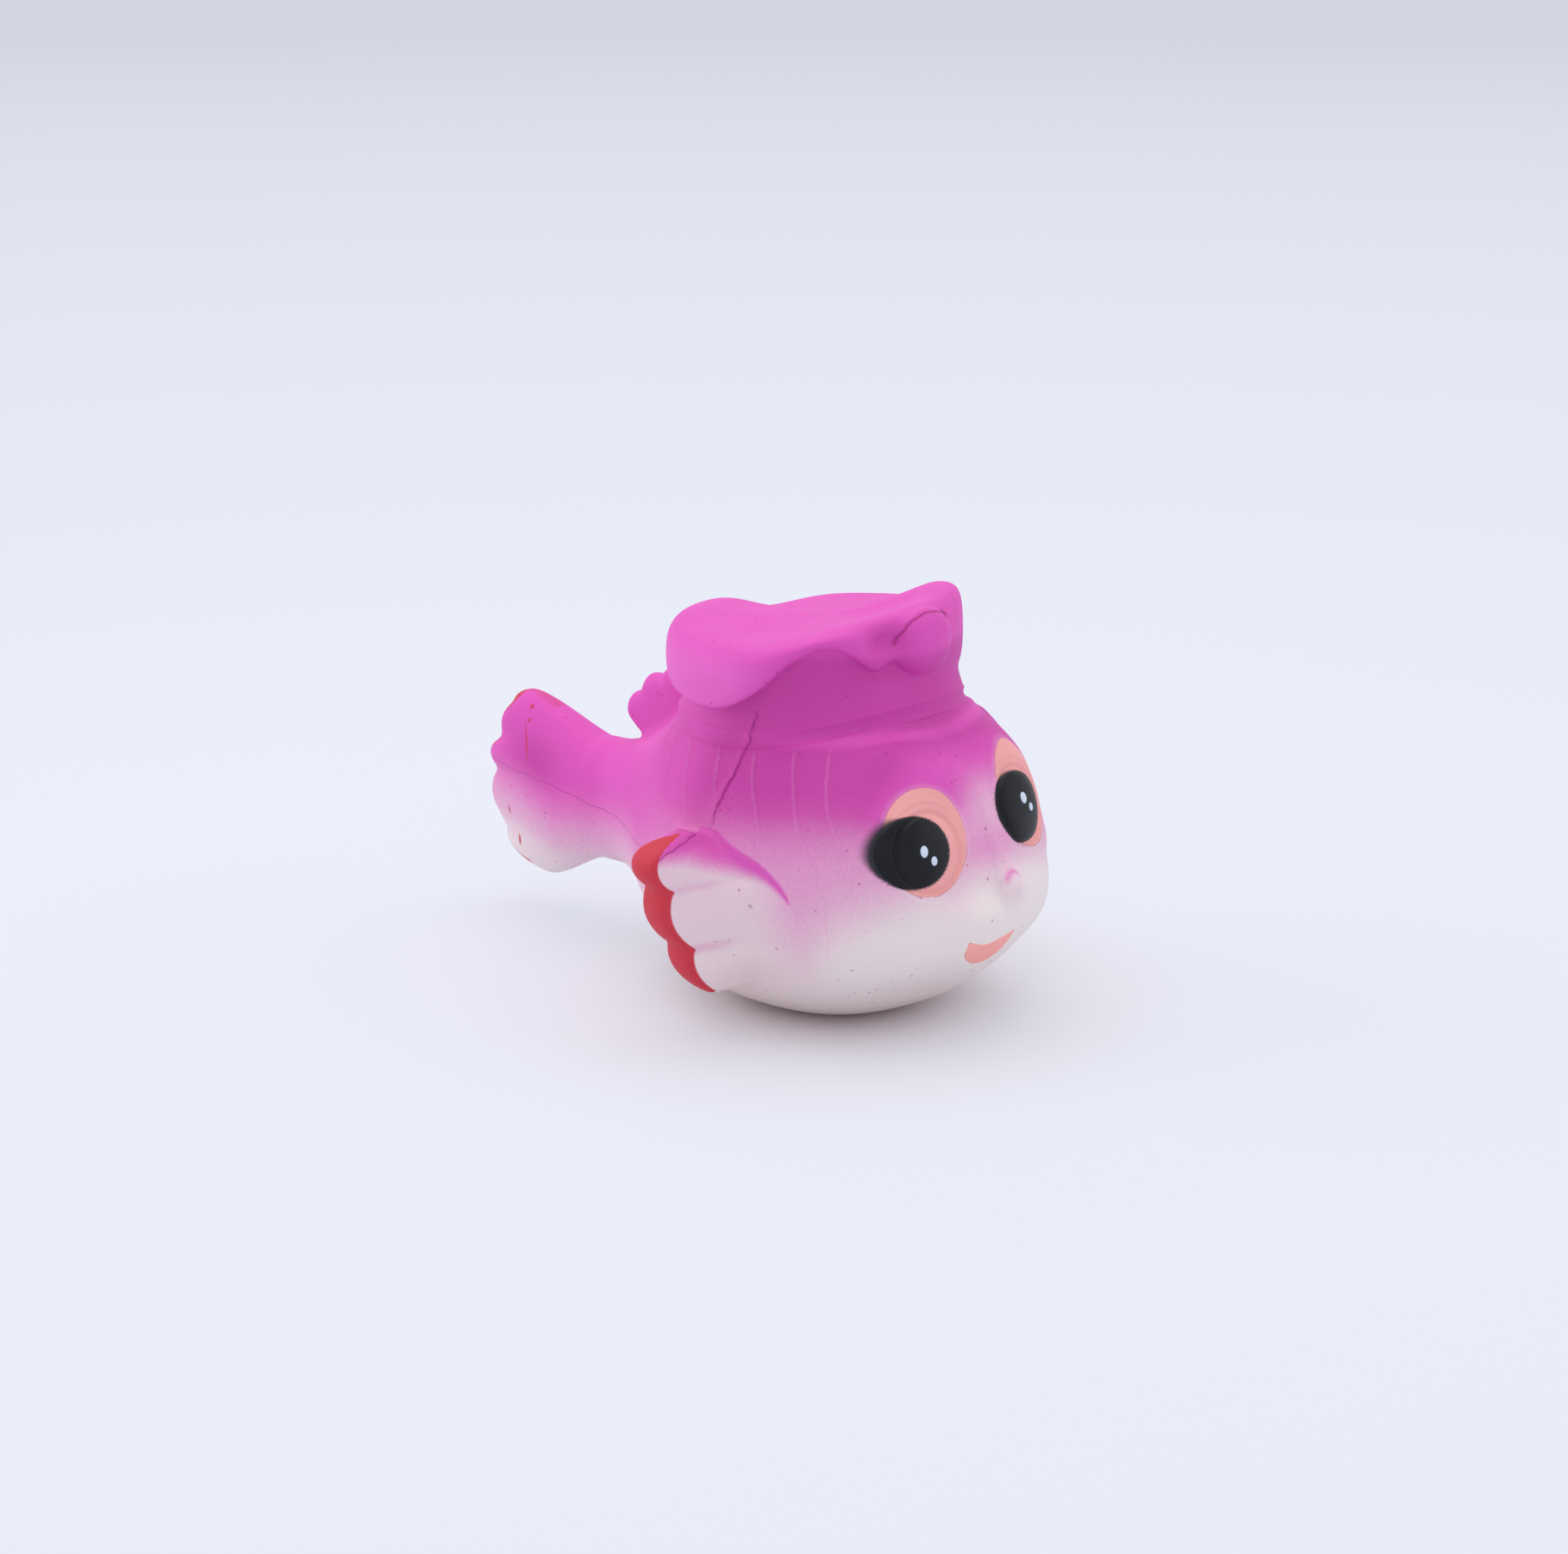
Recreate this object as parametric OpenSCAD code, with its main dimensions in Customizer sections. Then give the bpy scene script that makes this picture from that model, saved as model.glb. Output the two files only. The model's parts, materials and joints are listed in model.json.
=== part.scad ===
// Squishy fish toy: a soft foam fish with a scalloped tail and fins, painted eyes and a floppy cap.
// Millimetres, +X toward the nose, +Y to the fish's left, +Z up, z = 0 on the floor under the belly.

/* [Body] */
// Width of the head across its widest section
head_w = 60; // [52:0.5:70]
// Height of the head above its widest line
head_up = 27.5; // [26:0.5:34]
// Depth of the belly below the widest line
head_down = 27.5; // [24:0.5:32]
// Slice taken off the belly to make the face that it rests on
belly_flat = 1; // [0.6:0.1:1.6]
// Length from the mould seam to the front of the face
face_len = 33; // [28:0.5:36]
// Length from the mould seam back to the tail's bend
back_len = 48.5; // [44:0.5:53]
// Roundness of the face in side view, 2 being an ellipse
face_round = 2.15; // [2:0.05:3]
// How far the front of the face hangs below the head's widest line
face_droop = 1.5; // [0:0.5:6]
// Roundness of the body's cross sections, 2 being an ellipse
section_round = 2.35; // [2:0.05:2.8]
// Thickness of the dense outer skin
skin = 2.2; // [1.6:0.1:3]
// Gap between the skin and the foam inside it
core_gap = 0.35; // [0.2:0.05:0.8]

/* [Face] */
// Height of the cheek bulges
cheek_h = 2.6; // [0:0.1:4]
// Distance of the cheek bulges ahead of the mould seam
cheek_fore = 27; // [22:0.5:30]
// Distance of the cheek bulges from the middle of the face
cheek_side = 20; // [14:0.5:24]
// Height of the cheek bulges above the floor
cheek_z = 18; // [14:0.5:24]
// Spread of the cheek bulges
cheek_spread = 11; // [8:0.5:15]
// How far the muzzle stands out of the face
muzzle_h = 3; // [0:0.2:5]
// Depth of the muzzle's middle below the head's widest line
muzzle_drop = 6; // [3:0.5:9]
// Spread of the muzzle
muzzle_spread = 14; // [10:0.5:18]
// Height of the nose bump
nose_h = 1.3; // [0.4:0.1:3]
// Depth of the nose below the head's widest line
nose_drop = 1; // [-2:0.2:4]
// Spread of the nose bump
nose_spread = 3.6; // [2.5:0.1:6]
// Turn of each eye away from straight ahead, in degrees
eye_turn = 23; // [18:1:30]
// Rise of each eye above the head's centre, in degrees
eye_rise = 12; // [6:1:18]
// Depth of the shallow hollow that each eye sits in
eye_hollow = 1.4; // [0:0.1:2]
// Spread of the hollow round each eye
eye_spread = 9; // [7:0.5:12]
// Radius of each pupil
pupil_r = 5.4; // [4:0.1:6.5]
// Height of each pupil's dome above the skin
pupil_dome = 2; // [1:0.1:3]
// Width of the peach patch round each eye
patch_w = 15.4; // [13:0.2:18]
// Height of the peach patch round each eye
patch_h = 18.4; // [15:0.2:21]
// Rise of the peach patch's middle above the pupil's
patch_rise = 2; // [0:0.2:3]
// Thickness of the painted patches
patch_t = 0.6; // [0.3:0.1:1]
// Width of the mouth
mouth_w = 11; // [8:0.5:14]
// Thickness of the lips at the middle
mouth_h = 4; // [2:0.2:6]
// Height of the middle of the mouth
mouth_z = 16.5; // [13:0.5:19]
// Rise of the mouth's ends above its middle
smile = 3; // [0:0.2:5]
// Radius of the larger glint on each pupil
glint_r = 0.9; // [0.5:0.05:1.2]

/* [Tail] */
// Length from the tail's bend to its tip
tail_len = 29; // [20:0.5:33]
// Width of the body at the tail's bend
root_w = 13; // [10:0.5:16]
// Height of the body at the tail's bend
root_h = 20; // [16:0.5:24]
// Height of the tail's middle line at the bend
root_z = 23.5; // [20:0.5:27]
// Height of the spread tail
tail_h = 32.5; // [24:0.5:38]
// Rise of the tail's middle line to its tip
tail_rise = 0.5; // [-2:0.5:6]
// Depth of the scallops along the tail's edge
tail_scallop = 2.2; // [0:0.1:4]
// How far the tail's corners are rounded in at its edge
tail_corner = 2.5; // [0:0.1:4]
// How far the bend's round end stands past the body's side
knuckle_over = 0.6; // [0.3:0.1:1]
// Thickness of the tail's spread part
tail_t = 8; // [5:0.2:11]

/* [Side fins] */
// Length of each side fin from its bend to its edge
fin_len = 9.5; // [7:0.5:13]
// Height of each side fin at its root
fin_root = 25; // [18:0.5:30]
// Height of each side fin along its edge
fin_edge = 30; // [24:0.5:40]
// Height of the middle of the side fins
fin_z = 21.5; // [18:0.5:25]
// Distance of the side fins' bend behind the mould seam
fin_back = 0.5; // [-2:0.5:3]
// How far the lower end of a side fin's bend stands out of the flank
fin_stand_low = 3.8; // [3.6:0.1:4.6]
// How far the upper end of a side fin's bend stands out of the flank
fin_stand_high = 3.4; // [3.2:0.1:4.4]
// Angle that the side fins sweep back, in degrees
fin_sweep = 14; // [8:1:40]
// How much shorter the side fins are at their lower end, as a share
fin_taper = 0.4; // [0:0.05:0.5]
// Thickness of the side fins
fin_t = 7; // [5:0.2:8.4]
// Depth of the scallops along the fins' edges
fin_scallop = 2; // [0:0.1:3]

/* [Dorsal fin] */
// Distance from the mould seam back to the front of the dorsal fin's base
dorsal_start = 28.5; // [27.5:0.5:34]
// Length of the dorsal fin's base
dorsal_len = 13; // [9:0.5:16]
// Height of the dorsal fin
dorsal_h = 8.5; // [6:0.5:13]
// Depth of the scallops along the dorsal fin's edge
dorsal_scallop = 1.6; // [0:0.1:2.5]
// Depth of the groove that the dorsal fin's bend lies in
dorsal_seat = 1.1; // [0.6:0.1:1.3]
// Thickness of the dorsal fin
dorsal_t = 4.4; // [3:0.2:6]

/* [Cap] */
// Distance of the cap's middle behind the mould seam
cap_back = 2; // [0:0.5:4]
// Depth of the cap's base below the top of the head
cap_sink = 7; // [5:0.5:9]
// Radius of the cap's band
band_r = 22; // [19:0.5:25]
// Height of the band's top above the head
band_h = 8; // [5:0.5:11]
// Height of the piping ridge round the foot of the band
piping_h = 3; // [1.5:0.5:5]
// How far the piping stands out of the band
piping_out = 0.8; // [0.3:0.1:1.5]
// Radius of the crown at its sides and back
crown_r = 24.6; // [23:0.2:30]
// Rise of the cap toward the front, per millimetre
cap_slope = 0.15; // [0:0.01:0.25]
// Height of the crown's front edge above the cap's base
front_top = 19.5; // [16:0.5:24]
// Height of the crown's back lobe above the cap's base
back_top = 18.5; // [15:0.5:21]
// Height of the lower edge at the raised sides
crest_low = 13; // [11:0.5:17]
// Height of the lower edge where the sides droop
droop_low = 6; // [5:0.5:10]
// Depth of the hollow in the top of the crown
dish = 4; // [0:0.5:7]
// Height of the badge's middle above the band's top
badge_rise = 3.4; // [2:0.2:5]
// Width of the oval badge
badge_w = 13.5; // [9:0.5:17]
// Height of the oval badge
badge_h = 12; // [8:0.5:15]
// Thickness of the badge
badge_t = 3; // [1.5:0.2:5]

/* [Painted edges] */
// Share of the tail's length that the painted edge takes
tail_edge_share = 0.1; // [0.06:0.01:0.2]
// Share of a fin's length that the painted edge takes
fin_edge_share = 0.22; // [0.12:0.01:0.35]

/* [Running gaps] */
// Gap round the bend of the tail and fins
bend_gap = 0.3; // [0.2:0.05:0.6]
// Gap under pieces laid on the skin
lay_gap = 0.15; // [0.1:0.05:0.4]
// Gap between the cap's band and the head
cap_gap = 0.3; // [0.2:0.05:0.6]

/* [Hidden] */
$fn = 48;
around = 48;
total_len = face_len + muzzle_h + nose_h + back_len + tail_len;
seam_x = total_len / 2 - face_len - muzzle_h - nose_h;
hinge_x = seam_x - back_len;
head_z = head_down - belly_flat;
head_mid = [seam_x, 0, head_z];
knuckle_r = root_w / 2 + knuckle_over;
knuckle_h = root_h + 2 * knuckle_r;
cap_x = seam_x - cap_back;
cap_z = head_z + head_up - cap_sink;
fin_x = seam_x - fin_back;
fin_half = fin_root / 2;
fin_r = fin_t / 2;
fin_y_low = flank(fin_z - fin_half) + fin_stand_low;
fin_y_high = flank(fin_z + fin_half) + fin_stand_high;
fin_lip = fin_r / 6;
pupil_seat = skin / 2;
eye_dir = [cos(eye_rise) * cos(eye_turn), cos(eye_rise) * sin(eye_turn), sin(eye_rise)];
cheek_at = [seam_x + cheek_fore, cheek_side, cheek_z];
nose_at = [seam_x + face_len, 0, head_z - nose_drop];
muzzle_at = [seam_x + face_len, 0, head_z - muzzle_drop];
eye_at = face_point(eye_dir, 0);
peach = "#E39A98";
pink = "#D84FB8";
cream = "#DDD5D8";
red = "#CC4455";
black = "#20222C";
white = "#E8F0FA";
foam = "#E6E0DC";

// Small helpers

function unit(v) = v / norm(v);
function mix(a, b, t) = a + (b - a) * t;
function ease(t) = (1 - cos(180 * t)) / 2;
function bell(d, spread) = exp(-pow(d / spread, 2));
function flip(p) = [p.x, -p.y, p.z];
function flip_rows(rows) = [for (row = rows) [for (p = row) flip(p)]];
function flat(rows) = [for (row = rows) for (p = row) p];
function quad(a, b, c, d) = [[a, b, c], [a, c, d]];
function steps_of(from, to, steps) = [for (i = [0:steps]) mix(from, to, i / steps)];

// A value read from stations along an angle, eased between neighbours
function station(list, a, i = 0) =
    i >= len(list) - 2 || a <= list[i + 1][0]
    ? mix(list[i][1], list[i + 1][1],
          ease(max(0, min(1, (a - list[i][0]) / (list[i + 1][0] - list[i][0])))))
    : station(list, a, i + 1);

// A closed solid through rings of the same number of points
module loft(rings) {
    n = len(rings);
    m = len(rings[0]);
    sides = [
        for (i = [0:n - 2]) for (j = [0:m - 1])
            each quad(i * m + j, (i + 1) * m + j,
                      (i + 1) * m + (j + 1) % m, i * m + (j + 1) % m)
    ];
    first = [for (j = [0:m - 1]) j];
    last = [for (j = [m - 1:-1:0]) (n - 1) * m + j];
    polyhedron(flat(rings), concat(sides, [first, last]), convexity = 6);
}

// A solid between two sheets of points with the same rows and columns
module slab(over, under) {
    n = len(over);
    m = len(over[0]);
    s = n * m;
    top = [
        for (i = [0:n - 2]) for (j = [0:m - 2])
            each quad(i * m + j, i * m + j + 1, (i + 1) * m + j + 1, (i + 1) * m + j)
    ];
    bottom = [for (f = top) [f[2] + s, f[1] + s, f[0] + s]];
    ends = [
        for (j = [0:m - 2])
            each concat(quad(s + j, s + j + 1, j + 1, j),
                        quad((n - 1) * m + j, (n - 1) * m + j + 1,
                             s + (n - 1) * m + j + 1, s + (n - 1) * m + j))
    ];
    edges = [
        for (i = [0:n - 2])
            each concat(quad(i * m, (i + 1) * m, s + (i + 1) * m, s + i * m),
                        quad(s + i * m + m - 1, s + (i + 1) * m + m - 1,
                             (i + 1) * m + m - 1, i * m + m - 1))
    ];
    polyhedron(concat(flat(over), flat(under)), concat(top, bottom, ends, edges), convexity = 6);
}

// A ring-shaped or cup-shaped solid between two sheets whose columns run all the way round
module wrap(over, under, closed) {
    n = len(over);
    m = len(over[0]);
    s = n * m;
    e = (n - 1) * m;
    top = [
        for (i = [0:n - 2]) for (j = [0:m - 1])
            each quad(i * m + j, (i + 1) * m + j,
                      (i + 1) * m + (j + 1) % m, i * m + (j + 1) % m)
    ];
    bottom = [for (f = top) [f[2] + s, f[1] + s, f[0] + s]];
    start = [
        for (j = [0:m - 1]) each quad(j, (j + 1) % m, s + (j + 1) % m, s + j)
    ];
    finish = closed
        ? [[for (j = [m - 1:-1:0]) e + j], [for (j = [0:m - 1]) s + e + j]]
        : [for (j = [0:m - 1]) each quad(s + e + j, s + e + (j + 1) % m, e + (j + 1) % m, e + j)];
    polyhedron(concat(flat(over), flat(under)), concat(top, bottom, start, finish), convexity = 6);
}

// Shape of the body

function section_radius(a, w, up, down) =
    pow(pow(abs(cos(a)) / w, section_round)
        + pow(abs(sin(a)) / (sin(a) > 0 ? up : down), section_round), -1 / section_round);

function flank(z) =
    head_w / 2 * pow(1 - pow(abs(z - head_z) / (z > head_z ? head_up : head_down),
                             section_round), 1 / section_round);

// How far along the taper from the seam (0) to the tail's bend (1)
function taper(x) = ease(pow(max(0, min(1, (seam_x - x) / back_len)), 1.15));
function back_w(x) = mix(head_w / 2, root_w / 2, taper(x));
function back_up(x) = mix(head_up, root_h / 2, taper(x));
function back_down(x) = mix(head_down, root_h / 2, taper(x));
function back_mid(x) = mix(head_z, root_z, taper(x));

// The face is a rounded half ellipsoid with soft bumps, met along a direction from the head's middle
function face_radius(d) =
    pow(pow(abs(d.x) / face_len, face_round)
        + pow(pow(abs(d.y) / (head_w / 2), section_round)
              + pow(abs(d.z) / (d.z > 0 ? head_up : head_down), section_round),
              face_round / section_round), -1 / face_round);

function bumps(p) =
    let (q = [p.x, abs(p.y), p.z])
    cheek_h * bell(norm(q - cheek_at), cheek_spread)
    + nose_h * bell(norm(q - nose_at), nose_spread)
    + muzzle_h * bell(norm(q - muzzle_at), muzzle_spread)
    - eye_hollow * bell(norm(q - head_mid - face_radius(eye_dir) * eye_dir), eye_spread);

// Swelling of the flank that carries the root of a side fin
function fin_line_y(z) = mix(fin_y_low, fin_y_high, (z - fin_z + fin_half) / fin_root);
function fin_swell(p) =
    let (z = max(fin_z - fin_half, min(fin_z + fin_half, p.z)),
         near = bell(p.x - fin_x, 2.3 * fin_r) * bell(p.z - z, 1.7 * fin_r),
         rise = max(0, fin_line_y(z) - fin_lip - abs(p.y)))
    abs(p.y) < head_w / 6 ? p : [p.x, p.y + sign(p.y) * rise * near, p.z];

function droop(p) = p - [0, 0, face_droop * pow((p.x - seam_x) / face_len, 2)];

function face_point(d, inset) =
    let (base = head_mid + face_radius(d) * d, p = base + (bumps(base) - inset) * d)
    droop(inset > 0 ? p : fin_swell(p));

function back_point(x, a, inset) =
    let (r = section_radius(a, back_w(x) - inset, back_up(x) - inset, back_down(x) - inset),
         p = [x, r * cos(a), back_mid(x) + r * sin(a)])
    inset > 0 ? p : fin_swell(p);

function face_rings(inset, steps, count) = [
    for (i = [0:steps])
        let (b = 88.5 * pow(i / steps, 0.9))
        [for (j = [0:count - 1])
            let (a = 360 * j / count)
            face_point([sin(b), cos(b) * cos(a), cos(b) * sin(a)], inset)]
];

function back_rows(inset, from, to, steps) = [
    for (i = [0:steps])
        [for (a = steps_of(from, to, around / 2)) back_point(seam_x - back_len * i / steps, a, inset)]
];

// Height of the head's top surface, as the share of a section's height that is left at a point
function section_share(y, w, round) =
    pow(max(0, round - pow(abs(y) / w, section_round)), 1 / section_round);
function head_top(x, y) =
    let (fore = (x - seam_x) / face_len)
    fore > 0
    ? head_z - face_droop * fore * fore
      + head_up * section_share(y, head_w / 2,
                                pow(1 - pow(fore, face_round), section_round / face_round))
    : back_mid(x) + back_up(x) * section_share(y, back_w(x), 1);

// Cutters

module floor_cut() {
    translate([-total_len, -total_len, -head_w])
        cube([2 * total_len, 2 * total_len, head_w]);
}

module tail_pocket() {
    translate([hinge_x, 0, root_z - knuckle_h / 2])
        cylinder(r = knuckle_r + bend_gap, h = knuckle_h);
}

fin_low = [fin_x, fin_y_low, fin_z - fin_half];
fin_high = [fin_x, fin_y_high, fin_z + fin_half];
fin_lean = atan2(fin_y_high - fin_y_low, fin_root);

module fin_bar(r, over) {
    translate(fin_low)
        rotate([-fin_lean, 0, 0])
            translate([0, 0, -over])
                cylinder(r = r, h = norm(fin_high - fin_low) + 2 * over);
}

module fin_grooves() {
    for (side = [0, 1])
        mirror([0, side, 0])
            fin_bar(fin_r + bend_gap, fin_r);
}

function dorsal_base(x) = [x, 0, back_mid(x) + back_up(x) + dorsal_t / 2 + bend_gap - dorsal_seat];
dorsal_front = dorsal_base(seam_x - dorsal_start);
dorsal_back = dorsal_base(seam_x - dorsal_start - dorsal_len);
dorsal_along = unit(dorsal_back - dorsal_front);
dorsal_up = [dorsal_along.z, 0, -dorsal_along.x];
dorsal_tip = atan2(dorsal_front.z - dorsal_back.z, dorsal_len);

module dorsal_bar(r, over) {
    translate(dorsal_back)
        rotate([0, 90 - dorsal_tip, 0])
            translate([0, 0, -over])
                cylinder(r = r, h = norm(dorsal_front - dorsal_back) + 2 * over);
}

module eye_frame(side) {
    mirror([0, side, 0])
        translate(eye_at)
            rotate([0, 90 - eye_rise, eye_turn])
                children();
}

// Skin and foam

module front_skin() {
    color(cream)
        difference() {
            wrap(face_rings(0, 16, around), face_rings(skin, 16, around), true);
            floor_cut();
            fin_grooves();
            for (side = [0, 1])
                eye_frame(side)
                    translate([0, 0, -pupil_seat - lay_gap])
                        cylinder(r = pupil_r + lay_gap, h = pupil_r);
        }
}

module upper_back_skin() {
    color(pink)
        difference() {
            slab(back_rows(0, 0, 180, 12), back_rows(skin, 0, 180, 12));
            tail_pocket();
            fin_grooves();
            dorsal_bar(dorsal_t / 2 + bend_gap, 0);
        }
}

module lower_back_skin() {
    color(cream)
        difference() {
            slab(back_rows(0, 180, 360, 12), back_rows(skin, 180, 360, 12));
            floor_cut();
            tail_pocket();
            fin_grooves();
        }
}

module foam_core() {
    inset = skin + core_gap;
    sides = 32;
    steps = 8;
    reach = back_len - knuckle_r - 2 * bend_gap;
    back = [
        for (i = [steps:-1:1])
            [for (j = [0:sides - 1])
                back_point(seam_x - reach * i / steps, 360 * j / sides, inset)]
    ];
    color(foam)
        loft(concat(back, face_rings(inset, steps + 1, sides)));
}

// Tail

function tail_reach(v) =
    tail_len * (1 - 0.16 * pow(abs(v), 4))
    - tail_scallop * (1 - pow(abs(sin(360 * v)), 0.7));

// A point at share k of the tail's length and v of its half height
function tail_point(k, v, side) =
    let (spread = k <= 0 ? 0 : ease(pow(k, 0.85)),
         half = mix(root_h, tail_h, spread) / 2 - tail_corner * pow(max(0, 4 * k - 3), 2),
         t = mix(root_w, tail_t, spread) / 2 * sqrt(max(0.012, 1 - pow(max(0, k), 7))),
         edge = pow(max(0, 1 - pow(abs(v), mix(section_round, 4, spread))), 1 / section_round))
    [hinge_x - k * tail_reach(v), side * t * max(0.06, edge),
     root_z + tail_rise * max(0, k) + v * half];

tail_split = 1 - tail_edge_share;
tail_start = -1.2 * knuckle_r / tail_len;
tail_shares = concat([tail_start], steps_of(0, tail_split, 10));

module tail_part(shares, from, to, steps) {
    rows = [for (v = steps_of(from, to, steps)) [for (k = shares) tail_point(k, v, -1)]];
    slab(rows, flip_rows(rows));
}

// What lies ahead of the bend's round end
module tail_front_cut() {
    difference() {
        translate([hinge_x, -root_w, root_z - knuckle_h / 2])
            cube([2 * root_w, 2 * root_w, knuckle_h]);
        translate([hinge_x, 0, root_z - knuckle_h])
            cylinder(r = knuckle_r, h = 2 * knuckle_h);
    }
}

module tail_upper() {
    color(pink)
        difference() {
            tail_part(tail_shares, 0, 1, 10);
            tail_front_cut();
        }
}

module tail_lower() {
    color(cream)
        difference() {
            tail_part(tail_shares, -1, 0, 10);
            tail_front_cut();
        }
}

module tail_edge() {
    color(red)
        tail_part(steps_of(tail_split, 1, 4), -1, 1, 20);
}

// Side fins, drawn on the left and mirrored to the right

fin_up = unit(fin_high - fin_low);
fin_front = unit(cross([-sin(fin_sweep), cos(fin_sweep), 0], fin_up));
fin_out = cross(fin_up, fin_front);
fin_mid = (fin_low + fin_high) / 2;
fin_split = 1 - fin_edge_share;

function fin_reach(s) =
    fin_len * (1 - 0.2 * s * s + fin_taper * s)
    - fin_scallop * (1 - pow(abs(sin(270 * (s + 1))), 0.7));

// A point at share k of the fin's length and s of its half height
function fin_point(k, s, side) =
    let (half = mix(fin_root, fin_edge, k) / 2,
         t = 0.9 * fin_r * sqrt(max(0.01, 1 - pow(k, 9))) * sqrt(max(0.02, 1 - pow(abs(s), 6))))
    fin_mid + fin_up * s * half + fin_out * (k * fin_reach(s)) + fin_front * side * t;

function fin_rows(from, to, steps, side) = [
    for (s = steps_of(-1, 1, 18)) [for (k = steps_of(from, to, steps)) fin_point(k, s, side)]
];

module fin_blade() {
    union() {
        slab(fin_rows(0, fin_split, 7, -1), fin_rows(0, fin_split, 7, 1));
        fin_bar(fin_r, -fin_r / 2);
    }
}

module fin_rim() {
    slab(fin_rows(fin_split, 1, 4, -1), fin_rows(fin_split, 1, 4, 1));
}

module left_fin() {
    color(cream)
        fin_blade();
}

module right_fin() {
    color(cream)
        mirror([0, 1, 0])
            fin_blade();
}

module left_fin_edge() {
    color(red)
        fin_rim();
}

module right_fin_edge() {
    color(red)
        mirror([0, 1, 0])
            fin_rim();
}

// Dorsal fin

function dorsal_reach(s) =
    dorsal_h * (0.62 + 0.38 * sin(180 * pow(s, 0.8)))
    - dorsal_scallop * (1 - pow(abs(sin(540 * s)), 0.7));

// A point at share k of the fin's height and s of its base
function dorsal_point(k, s, side) =
    let (t = dorsal_t / 2 * sqrt(max(0.03, 1 - pow(k, 6)))
             * sqrt(max(0.03, 1 - pow(abs(2 * s - 1), 6))))
    mix(dorsal_front, dorsal_back, s * (1 + 0.1 * k)) + dorsal_up * (k * dorsal_reach(s))
    + [0, side * t, 0];

function dorsal_rows(side) = [
    for (s = steps_of(0, 1, 15)) [for (k = steps_of(0, 1, 6)) dorsal_point(k, s, side)]
];

module dorsal_fin() {
    color(pink)
        union() {
            slab(dorsal_rows(1), dorsal_rows(-1));
            dorsal_bar(dorsal_t / 2, -dorsal_t / 4);
        }
}

// Cap

function cap_base(x) = cap_z + cap_slope * (x - cap_x);
function cap_spot(r, a, h) =
    let (x = cap_x + r * cos(a)) [x, r * sin(a), cap_base(x) + h];
function on_head(r, a, h) =
    let (x = cap_x + r * cos(a), y = r * sin(a)) [x, y, head_top(x, y) + h];
function fold(a) = a > 180 ? 360 - a : a;
function cap_ring(r, h) = [for (j = [0:around - 1]) cap_spot(r, 360 * j / around, h)];
function head_ring(r, h) = [for (j = [0:around - 1]) on_head(r, 360 * j / around, h)];

module cap_band() {
    soft = piping_out * 0.75;
    color(pink)
        loft(concat(
            [for (share = [0.02, 0.25, 0.5, 0.75, 0.9, 1]) head_ring(band_r * share, cap_gap)],
            [head_ring(band_r + piping_out, cap_gap + soft / 2),
             head_ring(band_r + piping_out, cap_gap + piping_h),
             head_ring(band_r, cap_gap + piping_h + soft), cap_ring(band_r, band_h)]
        ));
}

// The crown's rim at angles from the front: its radius, its lower edge and its top
rim_r = [[0, band_r], [30, band_r + 0.1 * (crown_r - band_r)], [50, mix(band_r, crown_r, 0.4)],
         [105, crown_r], [180, crown_r]];
rim_low = [[0, mix(band_h, crest_low, 0.25)], [22, mix(band_h, crest_low, 0.35)], [40, crest_low],
           [52, crest_low], [100, droop_low], [140, mix(droop_low, crest_low, 0.2)],
           [180, mix(droop_low, crest_low, 0.4)]];
rim_top = [[0, front_top], [20, front_top], [48, mix(crest_low, front_top, 0.55)],
           [80, mix(droop_low, back_top, 0.7)], [105, mix(droop_low, back_top, 0.7)],
           [150, mix(droop_low, back_top, 0.8)], [180, back_top]];

function crown_ring(share, rise) = [
    for (j = [0:around - 1])
        let (a = 360 * j / around, f = fold(a))
        cap_spot(station(rim_r, f) * share, a, mix(station(rim_low, f), station(rim_top, f), rise))
];

// The underside, from the band's top edge out to the rim
function under_ring(share) = [
    for (j = [0:around - 1])
        let (a = 360 * j / around, f = fold(a))
        cap_spot(mix(band_r + lay_gap, station(rim_r, f), share), a,
                 mix(band_h + lay_gap, station(rim_low, f), share))
];

// The hollow top, from its low middle out to the rim
function dish_ring(share) = [
    for (j = [0:around - 1])
        let (a = 360 * j / around, f = fold(a), mid = (front_top + back_top) / 2 - dish)
        cap_spot(station(rim_r, f) * share, a, mix(mid, station(rim_top, f), pow(share, 2.2)))
];

module cap_crown() {
    color(pink)
        loft(concat(
            [cap_ring(0.02 * band_r, band_h + lay_gap), under_ring(0), under_ring(0.6)],
            [crown_ring(0.985, 0.05), crown_ring(1, 0.45), crown_ring(1, 0.8), crown_ring(0.985, 0.95)],
            [for (share = [0.93, 0.8, 0.6, 0.35, 0.02]) dish_ring(share)]
        ));
}

badge_mid = band_h + badge_rise;
badge_rim = badge_t / 8;
badge_shares = steps_of(0.03, 1, 4);

function badge_ring(s, lift) = [
    for (j = [0:27])
        let (a = 360 * j / 28, y = badge_w / 2 * s * cos(a), r = rim_r[0][1] + 2 * lay_gap + lift,
             x = cap_x + sqrt(r * r - y * y))
        [x, y, cap_base(x) + badge_mid + badge_h / 2 * s * sin(a)]
];

module cap_badge() {
    color(pink)
        loft(concat(
            [for (s = badge_shares) badge_ring(s, 0)],
            [for (i = [4:-1:0])
                let (s = badge_shares[i])
                badge_ring(s, badge_rim + badge_t * sqrt(max(0, 1 - s * s)))]
        ));
}

// Painted face

eye_side = [-sin(eye_turn), cos(eye_turn), 0];
eye_top = cross(eye_dir, eye_side);

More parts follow.
